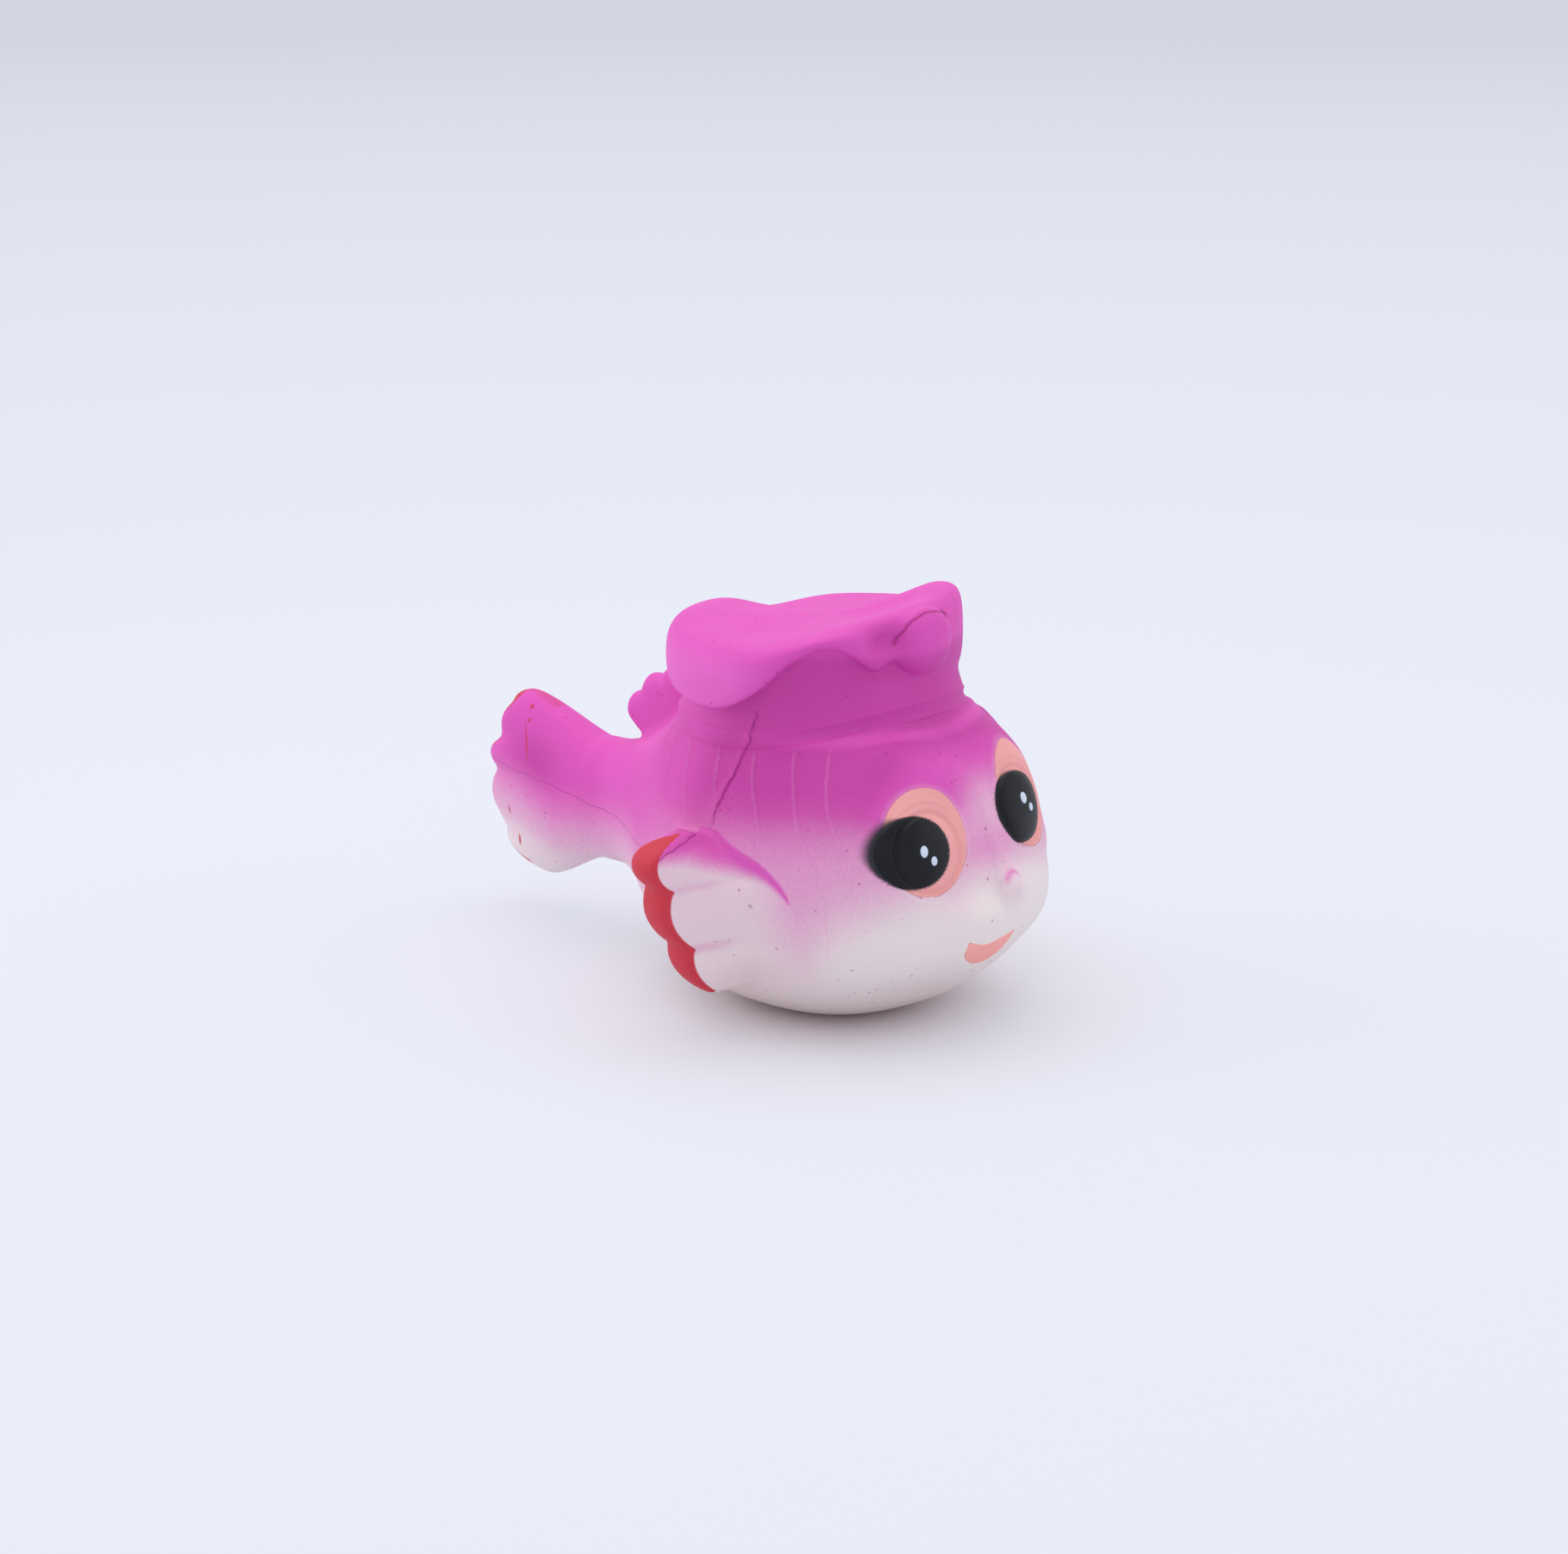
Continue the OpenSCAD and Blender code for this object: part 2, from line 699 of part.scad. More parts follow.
function patch_point(share, a, lift) =
    let (inner = (pupil_r + 2 * lay_gap) * [cos(a), sin(a)],
         outer = [patch_w / 2 * cos(a), patch_h / 2 * sin(a) + patch_rise],
         q = mix(inner, outer, share),
         d = unit(eye_dir * face_radius(eye_dir) + eye_side * q.x + eye_top * q.y))
    face_point(d, 0) + d * lift;

function patch_rows(lift) = [
    for (share = steps_of(0, 1, 4)) [for (j = [31:-1:0]) patch_point(share, 360 * j / 32, lift)]
];

module eye_patch() {
    wrap(patch_rows(lay_gap + patch_t), patch_rows(lay_gap), false);
}

module left_eye_patch() {
    color(peach)
        eye_patch();
}

module right_eye_patch() {
    color(peach)
        mirror([0, 1, 0])
            eye_patch();
}

ball_r = (pupil_r * pupil_r + pupil_dome * pupil_dome) / (2 * pupil_dome);

dome_z = patch_t + pupil_dome - ball_r;

module pupil_at(side) {
    eye_frame(side)
        union() {
            translate([0, 0, -pupil_seat])
                cylinder(r = pupil_r, h = pupil_seat + patch_t);
            intersection() {
                translate([0, 0, dome_z])
                    sphere(r = ball_r);
                translate([0, 0, patch_t])
                    cylinder(r = pupil_r, h = ball_r);
            }
        }
}

module left_pupil() {
    color(black)
        pupil_at(0);
}

module right_pupil() {
    color(black)
        pupil_at(1);
}

// One glint: a small lens laid on the pupil's dome, x across and y up in the eye's own frame
module glint(x, y, r) {
    intersection() {
        difference() {
            translate([0, 0, dome_z])
                sphere(r = ball_r + 2 * lay_gap);
            translate([0, 0, dome_z])
                sphere(r = ball_r + lay_gap / 5);
        }
        translate([x, y, 0])
            cylinder(r = r, h = ball_r);
    }
}

module eye_glints() {
    color(white)
        for (side = [0, 1])
            eye_frame(side) {
                glint(-glint_r / 2, glint_r / 3, glint_r);
                glint(1.1 * glint_r, -1.3 * glint_r, 0.8 * glint_r);
            }
}

// A point at share s of the mouth's half width and v of its half thickness
function mouth_point(s, v, lift) =
    let (half = mouth_h / 2 * max(0.12, pow(max(0, 1 - s * s), 0.6)),
         z = mouth_z + smile * s * s + v * half - head_z,
         d = unit([0.82 * face_len, mouth_w / 2 * s, z]))
    face_point(d, 0) + d * lift;

function mouth_rows(lift) = [
    for (s = steps_of(-1, 1, 14)) [for (v = steps_of(-1, 1, 4)) mouth_point(s, v, lift)]
];

module mouth() {
    color(peach)
        slab(mouth_rows(lay_gap + patch_t), mouth_rows(lay_gap));
}

// What is drawn

front_skin();
upper_back_skin();
lower_back_skin();
foam_core();
tail_upper();
tail_lower();
tail_edge();
dorsal_fin();
left_fin();
left_fin_edge();
right_fin();
right_fin_edge();
cap_band();
cap_crown();
cap_badge();
left_eye_patch();
right_eye_patch();
left_pupil();
right_pupil();
eye_glints();
mouth();
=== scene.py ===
"""Looks of the squishy fish toy: moulded foam skin, airbrushed and brushed paint, and a studio stage.

The forms are joined into one moulded form first, as the foam is, and the pieces are then cut from it, so
that neighbours meet without a step. Shapes are worked in millimetres and become metres when a piece is
finished.
"""

import json
import math

import bmesh
import bpy
import numpy as np
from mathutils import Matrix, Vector
from mathutils.bvhtree import BVHTree


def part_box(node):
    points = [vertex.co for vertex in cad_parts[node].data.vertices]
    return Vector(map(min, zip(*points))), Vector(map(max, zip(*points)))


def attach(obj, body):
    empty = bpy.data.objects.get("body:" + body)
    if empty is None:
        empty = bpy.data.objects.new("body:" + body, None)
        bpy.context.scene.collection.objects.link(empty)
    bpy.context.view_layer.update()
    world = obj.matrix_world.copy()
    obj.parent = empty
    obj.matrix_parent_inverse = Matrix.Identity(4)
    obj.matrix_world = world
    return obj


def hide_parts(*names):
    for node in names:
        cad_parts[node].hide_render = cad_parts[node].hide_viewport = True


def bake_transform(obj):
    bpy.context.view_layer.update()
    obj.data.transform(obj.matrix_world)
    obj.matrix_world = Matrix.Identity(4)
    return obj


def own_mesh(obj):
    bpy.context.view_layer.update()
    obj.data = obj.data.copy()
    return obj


bl_info = {
    "name": "Squishy fish toy",
    "version": (1, 0, 0),
    "blender": (4, 5, 0),
    "location": "View3D > Sidebar > Fish toy",
    "description": "Dresses the packed fish toy in moulded foam, paint and a studio stage",
    "category": "Object",
}

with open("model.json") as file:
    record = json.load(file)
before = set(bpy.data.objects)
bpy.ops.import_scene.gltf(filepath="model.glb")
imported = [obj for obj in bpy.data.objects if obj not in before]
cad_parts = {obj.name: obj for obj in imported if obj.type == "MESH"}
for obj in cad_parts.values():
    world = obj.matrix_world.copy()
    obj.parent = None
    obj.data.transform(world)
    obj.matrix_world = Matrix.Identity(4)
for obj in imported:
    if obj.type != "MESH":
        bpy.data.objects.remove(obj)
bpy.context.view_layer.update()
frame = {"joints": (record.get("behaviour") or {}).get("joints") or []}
MM = 0.001
JOINTS = {joint["name"]: joint for joint in frame["joints"]}


def joint_place(name):
    """Where a joint sits, in millimetres."""
    return np.array(JOINTS[name]["pos_m"], float) / MM


HINGE = joint_place("tail_bend")
FIN_MID = joint_place("left_fin_bend")
FIN_UP = np.array(JOINTS["left_fin_bend"]["axis"], float)
BACK_FIN_MID = joint_place("back_fin_bend")
BACK_FIN_ALONG = np.array(JOINTS["back_fin_bend"]["axis"], float)
SEAM_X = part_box("front_skin")[0].x / MM
HEAD = np.array([SEAM_X, 0.0, 26.5])
# Where the cap's axis stands, and where the part of the face that gives begins
CAP_X = 18.1
FACE_X = 41.5
# How far the front of the face hangs down, and half width and height of the narrow root of the tail
FACE_DROP = 1.5
ROOT_WIDE = 6.5
ROOT_HIGH = 10.0
# Where side fins and back fin part from the skin, beyond their bends, and the thickness of thin pieces
FIN_CUT = 0.9
BACK_FIN_CUT = 0.4
LINING = 0.5
# Details of the flanks end this far from the middle of the fish
MIDDLE = 8


def linear(hex_colour):
    """An sRGB hex value as linear RGBA."""
    parts = [int(hex_colour[i:i + 2], 16) / 255 for i in (1, 3, 5)]
    return [p / 12.92 if p <= 0.04045 else ((p + 0.055) / 1.055) ** 2.4 for p in parts] + [1.0]


def length(name, description, metres):
    """A length of the toy as a property."""
    return bpy.props.FloatProperty(name=name, description=description, default=metres, unit="LENGTH")


def tone(name, description, hex_colour):
    """A colour of the toy as a property, from its sRGB hex value."""
    return bpy.props.FloatVectorProperty(name=name, description=description, default=linear(hex_colour),
                                         size=4, subtype="COLOR")


class FishSizes(bpy.types.PropertyGroup):
    """Sizes that shape the toy."""

    head_width: length("Head width", "Width across the widest section", 0.060)
    head_rise: length("Head rise", "Height above the widest line", 0.0275)
    head_depth: length("Belly depth", "Depth below the widest line", 0.0275)
    face_length: length("Face length", "From the mould seam to the front", 0.033)
    tail_length: length("Tail length", "From the bend to the tip", 0.029)
    tail_height: length("Tail height", "Height of the spread tail", 0.0325)
    tail_thickness: length("Tail thickness", "Thickness of the spread tail", 0.008)
    fin_reach: length("Side fin reach", "From the bend to the rim", 0.0074)
    fin_band: length("Side fin rim", "Width of the red rim", 0.0064)
    back_fin_height: length("Back fin height", "Height behind the cap", 0.0076)
    band_radius: length("Cap band radius", "Radius of the cap's band", 0.0217)
    crown_radius: length("Crown radius", "Radius of the floppy crown", 0.0244)
    skin: length("Skin thickness", "Thickness of the dense skin", 0.002)
    hairline: length("Hairline height", "Height of the fine mould lines", 0.00024)
    crack: length("Crack depth", "Depth of the open mould seams", 0.0001)


class FishColours(bpy.types.PropertyGroup):
    """Colours of paint, foam and stage."""

    pink: tone("Pink", "Airbrushed pink", "#E254BE")
    # Deeper pink: painted shade under the crown's brim and in hollows, and a darker pink on the brow and
    # upper flanks
    deep_and_shade_pink: tone("Deep pink", "Second coat of pink", "#C1339D")
    cream: tone("Cream", "Bare foam skin", "#EDE4E2")
    red: tone("Red", "Fin and tail rims", "#D23247")
    peach: tone("Peach", "Eye patches", "#F1A9A9")
    mouth: tone("Mouth", "Mouth", "#FFB1AA")
    black: tone("Black", "Pupils", "#171A23")
    glint: tone("Glint", "Glints in the eyes", "#D9E6F4")
    foam: tone("Foam", "Foam inside", "#E6E0DC")
    # The crack colour also paints shade down the crease at the crown's front peak
    crack: tone("Crack", "Open cracks", "#A8187A")
    floor: tone("Floor", "Floor paper", "#DFE2EC")
    # The far tone of the floor's painted glow, which darkens with distance
    backdrop: tone("Backdrop", "Far paper", "#D2D6E2")


def size(name):
    """A size of the toy in millimetres."""
    return getattr(bpy.context.scene.fish_sizes, name) / MM


def colour(name):
    """A colour of the toy as linear RGBA."""
    return tuple(getattr(bpy.context.scene.fish_colours, name))


# Small helpers for shapes

def mix(a, b, t):
    """From a to b by a share."""
    return a + (b - a) * t


def ease(t):
    """A share that starts and ends gently."""
    return (1 - np.cos(np.pi * np.clip(t, 0, 1))) / 2


def step(low, high, value):
    """A smooth share of the way from low to high."""
    t = np.clip((value - low) / (high - low), 0, 1)
    return t * t * (3 - 2 * t)


def bell(distance, spread):
    """A share that falls off with distance."""
    return np.exp(-(distance / spread) ** 2)


def unit(v):
    """The direction of a vector."""
    return v / np.linalg.norm(v)


def table(points, value):
    """A value read from a list of (place, value) pairs in rising order of place."""
    return np.interp(value, [p[0] for p in points], [p[1] for p in points])


def around_cap(points, angle):
    """A smooth value round the cap from (degrees from the front, value) pairs, the fish's left being
    positive. Pairs that start at 0 hold for both sides."""
    degrees = np.arange(-400, 401)
    turn = (degrees + 180) % 360 - 180
    line = table(points, np.abs(turn) if points[0][0] == 0 else turn)
    kernel = bell(np.arange(-24.0, 25.0), 7.0)
    return np.interp(angle, degrees, np.convolve(line, kernel / kernel.sum(), "same"))


def away(p, place_at):
    """Distances from a place."""
    return np.linalg.norm(p - place_at, axis=1)


def folded(p):
    """Places of both sides of the fish, all brought to its left."""
    return p * [1, 0, 1] + np.abs(p) * [0, 1, 0]


def places(bm):
    """Where the vertices are, as an array."""
    return np.array([v.co for v in bm.verts], float)


def place(bm, points):
    """Move the vertices to points."""
    for vert, point in zip(bm.verts, points):
        vert.co = point


def ball(u, v):
    """A bmesh sphere and the unit directions of its vertices."""
    bm = bmesh.new()
    bmesh.ops.create_uvsphere(bm, u_segments=u, v_segments=v, radius=1.0)
    return bm, places(bm)


def turned(profile, share):
    """Points on a smooth curve through a row of control arrays, at a share of its length for each vertex."""
    rows = np.array([np.broadcast_to(p, share.shape) for p in profile])
    rows = np.concatenate([2 * rows[:1] - rows[1:2], rows, 2 * rows[-1:] - rows[-2:-1]])
    t = np.clip(share, 0, 1) * (len(profile) - 1)
    i = np.minimum(t.astype(int), len(profile) - 2)
    f = t - i
    ids = np.arange(len(share))
    a, b, c = rows[i, ids], rows[i + 1, ids], rows[i + 2, ids]
    d = rows[np.minimum(i + 3, len(rows) - 1), ids]
    return ((1 - f) ** 3 * a + (3 * f ** 3 - 6 * f ** 2 + 4) * b
            + (-3 * f ** 3 + 3 * f ** 2 + 3 * f + 1) * c + f ** 3 * d) / 6


# Places of the eyes, on planes that look almost straight ahead

EYE_AT = np.array([49.3, 12.1, 32.0])
EYE_SHIFT = {1: (1.9, 2.6), -1: (-0.2, 0.0)}


def eye_axes(turn):
    """Directions across to the nose, up and out of an eye plane that looks a turn in degrees off ahead."""
    turn, tilt = math.radians(turn), math.radians(12)
    across = np.array([math.sin(turn), -math.cos(turn), 0.0])
    out = np.array([math.cos(turn) * math.cos(tilt), math.sin(turn) * math.cos(tilt), math.sin(tilt)])
    return across, np.cross(across, out) * np.sign(np.cross(across, out)[2]), out


DOME_AXES = eye_axes(7)
PAINT_AXES = {1: eye_axes(7), -1: eye_axes(26)}


def eye_plane(p, axes):
    """Places across, up and out in an eye plane, folded to the left eye. The left eye of the toy sits nearer
    to the nose and higher than the right one. axes holds those of the left and of the right eye."""
    q = folded(p) - EYE_AT
    left = p[:, 1] > 0
    across, up, out = (np.where(left, q @ axes[1][i], q @ axes[-1][i]) for i in range(3))
    aside, rise = (np.where(left, EYE_SHIFT[1][i], EYE_SHIFT[-1][i]) for i in (0, 1))
    return across - aside, up - rise, out


# The moulded form: body

# How square the body's section and its length through the face are, 2 being an ellipse
SECTION = 2.35
FACE = 2.15


def flank(x, z):
    """Half width of the body ahead of or behind the seam at a height."""
    fore = np.clip((x - SEAM_X) / size("face_length"), 0, 0.999)
    whole = (1 - fore ** FACE) ** (SECTION / FACE)
    back = taper(x)
    half = mix(size("head_width") / 2, ROOT_WIDE, back)
    middle = mix(HEAD[2], HINGE[2], back) - FACE_DROP * fore * fore
    high = mix(np.where(z > middle, size("head_rise"), size("head_depth")), ROOT_HIGH, back)
    return half * np.clip(whole - (np.abs(z - middle) / high) ** SECTION, 0.001, 1) ** (1 / SECTION)


def taper(x):
    """How far the back has drawn in from the seam to the root of the tail."""
    return ease(np.clip((SEAM_X - x) / (SEAM_X - HINGE[0]), 0, 1) ** 1.15)


def face_form(d):
    """Points of the face along unit directions from the middle of the head."""
    high = np.where(d[:, 2] > 0, size("head_rise"), size("head_depth"))
    ring = (np.abs(d[:, 1]) / (size("head_width") / 2)) ** SECTION + (np.abs(d[:, 2]) / high) ** SECTION
    bulk = (np.abs(d[:, 0]) / size("face_length")) ** FACE + ring ** (FACE / SECTION)
    base = HEAD + np.maximum(bulk, 1e-12)[:, None] ** (-1 / FACE) * d
    q = folded(base)
    front = SEAM_X + size("face_length")

    def bump(height, spread, x, y, z):
        return height * bell(away(q, [x, y, z]), spread)

    lift = (bump(2.6, 11, SEAM_X + 27, 20, 18) + bump(3.0, 14, front, 0, 20.5)
            - bump(1.0, 9, 49.6, 12.5, 32.6) + bump(1.2, 9, 46, 10, 44) - bump(1.6, 9, 48, 11, 9))
    p = base + lift[:, None] * d
    left = p[:, 1] > 0
    outer = np.abs(p[:, 1]) - EYE_AT[1]
    high = p[:, 2] - EYE_AT[2] - np.where(left, EYE_SHIFT[1][1], EYE_SHIFT[-1][1])
    mound = np.where(left, 1.3, 2.0) * np.tanh(outer / 5) * step(12.5, 6.5, outer)
    mound = mound * step(-10, -5, high) * step(13, 6, high)
    p[:, 0] += mound * step(36, 43, p[:, 0])
    p[:, 2] -= FACE_DROP * ((p[:, 0] - SEAM_X) / size("face_length")) ** 2
    return p


def trunk():
    """Head and back, from a sphere whose pole is the nose."""
    bm, d = ball(128, 160)
    angle = np.arctan2(d[:, 1], d[:, 0])
    front = face_form(np.stack([np.maximum(d[:, 2], 0), d[:, 0], d[:, 1]], axis=1))
    share = 1 - np.arccos(np.clip(-d[:, 2], -1, 1)) / (np.pi / 2)
    x = SEAM_X - (SEAM_X - HINGE[0] + 2) * np.minimum(share / 0.94, 1)
    close = np.sqrt(np.clip(1 - np.maximum(0, (share - 0.94) / 0.06) ** 2, 0, 1))
    back = taper(x)
    high = mix(np.where(d[:, 1] > 0, size("head_rise"), size("head_depth")), ROOT_HIGH, back)
    half = mix(size("head_width") / 2, ROOT_WIDE, back)
    side, rise = np.cos(angle), np.sin(angle)
    r = close * ((np.abs(side) / half) ** SECTION + (np.abs(rise) / high) ** SECTION) ** (-1 / SECTION)
    rear = np.stack([x, r * side, mix(HEAD[2], HINGE[2], back) + r * rise], axis=1)
    p = np.where(d[:, 2:] >= 0, front, rear)
    p[:, 2] = np.maximum(p[:, 2], 0)
    place(bm, p)
    return bm


# The moulded form: thin parts made of two facing sheets

def two_sheets(columns, rows, point):
    """A closed form between two facing sheets. point takes x and y from -1 to 1 and the side, 1 or -1."""
    bm = bmesh.new()
    bmesh.ops.create_grid(bm, x_segments=columns, y_segments=rows, size=1.0)
    flat = places(bm)
    copy = bmesh.ops.duplicate(bm, geom=bm.verts[:] + bm.edges[:] + bm.faces[:])
    faces = [g for g in copy["geom"] if isinstance(g, bmesh.types.BMFace)]
    bmesh.ops.reverse_faces(bm, faces=faces)
    place(bm, np.concatenate([point(flat[:, 0], flat[:, 1], 1), point(flat[:, 0], flat[:, 1], -1)]))
    bmesh.ops.bridge_loops(bm, edges=[e for e in bm.edges if e.is_boundary])
    bmesh.ops.recalc_face_normals(bm, faces=bm.faces[:])
    return bm


# Places of the notches between the tail's lobes along its half height, and the place along the lobes
TAIL_LOBES = [(-1, -1), (-0.65, -0.5), (-0.03, 0), (0.4, 0.5), (1, 1)]
# Stretch of the tail's lower and upper half, and how far its tip is raised
TAIL_LOW = 1.1
TAIL_TOP = 0.95
TAIL_RISE = 0.5


def tail_reach(v):
    """Length of the tail at a share of its half height, with four scallops."""
    corner = np.where(v < 0, 0.1, 0.02) * v ** 4
    reach = size("tail_length") * (1 - 0.15 * v * v - corner)
    reach = reach - 1.1 * step(0.2, 0.6, v) - 1.5 * step(-0.8, -1, v)
    return reach - scallop(table(TAIL_LOBES, v), 4, 2.2) * step(1, 0.85, v)


def tail_spread(k):
    """How far the tail has opened at a share of its length."""
    return ease(np.maximum(k, 0) ** 0.85)


def tail_half(k):
    """Half height of the tail at a share of its length, drawn in at the tip."""
    return mix(ROOT_HIGH, size("tail_height") / 2, tail_spread(k)) - 2.5 * np.maximum(0, 4 * k - 3) ** 2


def tail_sheet(x, y, side):
    """One side of the tail, from inside the body to the tip."""
    k = mix(-0.3, 1, (x + 1) / 2)
    spread = tail_spread(k)
    thick = mix(ROOT_WIDE, size("tail_thickness") / 2, spread)
    thick = thick * np.sqrt(np.maximum(0.012, 1 - np.maximum(0, k) ** 7))
    thick = thick * (1 - 0.18 * step(0.5, 1, k) * (1 - np.abs(np.sin(2 * np.pi * y)) ** 0.6))
    edge = np.maximum(0.06, (1 - np.abs(y) ** mix(SECTION, 4, spread)) ** (1 / SECTION))
    height = tail_half(k) * np.where(y < 0, TAIL_LOW, TAIL_TOP) * y
    return np.stack([HINGE[0] - k * tail_reach(y), side * thick * edge,
                     HINGE[2] + TAIL_RISE * np.maximum(0, k) + height], axis=1)


FIN_FRONT = unit(np.cross([-math.sin(math.radians(14)), math.cos(math.radians(14)), 0], FIN_UP))
FIN_OUT = np.cross(FIN_UP, FIN_FRONT)
# Heights of the notches between a side fin's lobes, and the place along the lobes from -1 to 1
FIN_LOBES = [(-14, -1), (-4.8, -1 / 3), (5.5, 1 / 3), (12.7, 1)]


def scallop(s, count, depth):
    """How far the outline of a fin draws in between its lobes, along places from -1 to 1."""
    return depth * (1 - np.abs(np.sin(count * np.pi / 2 * (s + 1))) ** 0.7)


def fin_reach(s):
    """Length of a side fin along its three lobes. The upper lobe runs round to the body."""
    lobes = size("fin_reach") * (1 - 0.27 * s * s + 0.47 * s) - scallop(s, 3, 2.0) * step(1, 0.75, s)
    return lobes * np.sqrt(1 - 0.98 * np.clip((s - 0.6) / 0.4, 0, 1) ** 5)


def fin_sheet(x, y, side):
    """Front or back of the left side fin: a flared face, and a puffed rim past x = 0.5."""
    face = np.clip((x + 1) / 1.5, 0, 1)
    rim = np.clip((x - 0.5) / 0.5, 0, 1) * np.pi / 2
    band = size("fin_band") / 2 * np.sqrt(1 - 0.92 * np.abs(y) ** np.where(y > 0, 10, 6))
    up = table([(s, height) for height, s in FIN_LOBES], y)
    out = fin_reach(y) + 1.2 * np.sin(rim) * np.sqrt(1 - 0.9 * np.maximum(0, y) ** 10)
    edge = (FIN_MID + np.outer(up, FIN_UP) + np.outer(out, FIN_OUT)
            + np.outer(side * band * np.cos(rim), FIN_FRONT))
    edge[:, 0] += 1.6 * np.maximum(0, -y) ** 1.5
    z = (FIN_MID + np.outer(mix(np.where(y > 0, 10.5, 12.5) * y, up, face), FIN_UP))[:, 2]
    if side > 0:
        start = table([(-1, 27), (-0.3, 33), (0.35, 33.5), (0.8, 26), (1, 22)], y)
        middle = mix(start, edge[:, 0], 0.55)
    else:
        start = np.full_like(y, 12.5)
        middle = np.full_like(y, 14.5)
    root = np.stack([start, flank(start, z) - 0.8, z], axis=1)
    bend = np.stack([middle, flank(middle, z) + (0.4 if side > 0 else 1.5), z], axis=1)
    k = face[:, None]
    return (1 - k) ** 2 * root + 2 * k * (1 - k) * bend + k * k * edge


def mirrored(bm):
    """The same form on the other side."""
    copy = bm.copy()
    bmesh.ops.scale(copy, vec=(1, -1, 1), verts=copy.verts[:])
    bmesh.ops.reverse_faces(copy, faces=copy.faces[:])
    return copy


BACK_FIN_UP = np.array([-BACK_FIN_ALONG[2], 0, BACK_FIN_ALONG[0]])


def back_fin_sheet(x, y, side):
    """One side of the fin behind the cap, from inside the body to its scalloped crest."""
    s = (y + 1) / 2
    k = mix(-0.45, 1, (x + 1) / 2)
    reach = (size("back_fin_height") * (0.62 + 0.38 * np.sin(np.pi * s ** 0.8))
             - 1.5 * (1 - np.abs(np.sin(3 * np.pi * s)) ** 0.7))
    thick = (2.3 * np.sqrt(np.maximum(0.03, 1 - np.maximum(0, k) ** 6))
             * np.sqrt(np.maximum(0.03, 1 - np.abs(2 * s - 1) ** 6)))
    along = mix(7.5, -7.5, s * (1 + 0.1 * k))
    p = BACK_FIN_MID + np.outer(along, BACK_FIN_ALONG) + np.outer(k * reach, BACK_FIN_UP)
    p[:, 1] += side * thick
    return p


# The moulded form: cap

# Round the cap by degrees from the front: radius, lower and upper height of the crown's rim, radius of the
# band below it, and how far the rim is rolled
RIM_R = [(-180, 23.9), (-138, 23.9), (-105, 24.4), (-86, 24.3), (-62, 23.2), (-46, 22.4), (-25, 21.6),
         (0, 21), (30, 20.9), (50, 21.3), (75, 23.2), (105, 24), (180, 23.9)]
RIM_LOW = [(-180, 54), (-140, 53), (-125, 52.3), (-101, 51.3), (-86, 51.9), (-72, 55.7), (-62, 60),
           (-54, 62), (-46, 62.4), (-38, 61.3), (-31, 58), (-26, 55.6), (-20, 61.4), (-12, 57.4), (0, 56.5),
           (20, 55.5), (60, 54), (80, 53.5), (100, 53), (140, 53), (180, 54)]
RIM_TOP = [(-180, 61.7), (-150, 62.1), (-125, 61.4), (-100, 60.8), (-75, 61.4), (-45, 64.2), (-20, 65.6),
           (0, 66.2), (20, 66.2), (40, 66.8), (52, 67), (58, 65.8), (75, 62.4), (104, 61.2), (129, 60.6),
           (156, 58.6), (172, 61), (180, 61.7)]
BAND_R = [(-180, 22.6), (-140, 22.9), (-100, 22.9), (-80, 22), (-60, 20.8), (-45, 20.3), (-20, 20.4),
          (0, 20.7), (45, 20.7), (90, 22), (180, 22.6)]
RIM_ROLL = [(0, 0), (30, 0.1), (60, 0.7), (90, 1), (180, 1)]
# The radii of crown and band that these tables were worked out for
TABLE_CROWN = 24.4
TABLE_BAND = 21.7
# Height of the band's foot at the cap's sides, and where the crown begins to hang over the body
CAP_FOOT = 45.5
CROWN_LOW = 49.5


def cap_foot(angle):
    """Height of the band's foot round the cap. The cap sits back on the head, so its front is higher."""
    return CAP_FOOT + 4.8 * np.maximum(0, np.cos(np.radians(angle))) ** 1.5


def cap_form(profile):
    """A form turned round the cap's axis. profile takes degrees from the front, for radii and heights."""
    bm, d = ball(180, 120)
    angle = np.degrees(np.arctan2(d[:, 1], d[:, 0]))
    share = np.arccos(np.clip(d[:, 2], -1, 1)) / np.pi
    radii, heights = profile(angle)
    r = turned(radii, share)
    z = turned(heights, share)
    x = CAP_X + r * np.cos(np.radians(angle))
    place(bm, np.stack([x, r * np.sin(np.radians(angle)), z], axis=1))
    return bm


def crown_profile(angle):
    """A pillow with a rolled rim, hollow in the middle, whose lip hangs free of the band."""
    r, low, top, roll = (around_cap(points, angle) for points in (RIM_R, RIM_LOW, RIM_TOP, RIM_ROLL))
    r = r * size("crown_radius") / TABLE_CROWN
    foot = cap_foot(angle)
    middle = 62
    peak = bell(angle - 44, 14)
    neck = around_cap(BAND_R, angle) * size("band_radius") / TABLE_BAND
    radii = [0, 0.3 * r, 0.58 * r, 0.8 * r, 0.94 * r, r + 0.6, r + 0.9, r + 0.9, r + 0.5, r, r - 1,
             mix(neck, r, 0.3), neck, neck - 0.4, 14, 0]
    heights = [middle, mix(middle, top, 0.1 + 0.2 * roll), mix(middle, top, 0.42 + 0.38 * roll),
               top + 0.3 - 0.1 * roll, top + 0.4 - 0.45 * roll,
               mix(low, top, 0.8 - 0.02 * roll + 0.13 * peak), mix(low, top, 0.5), mix(low, top, 0.2), low,
               low - 0.7, low - 0.3, low + 0.9, mix(low, foot + 8, 0.6), foot + 6, foot + 5, foot + 5]
    return radii, heights


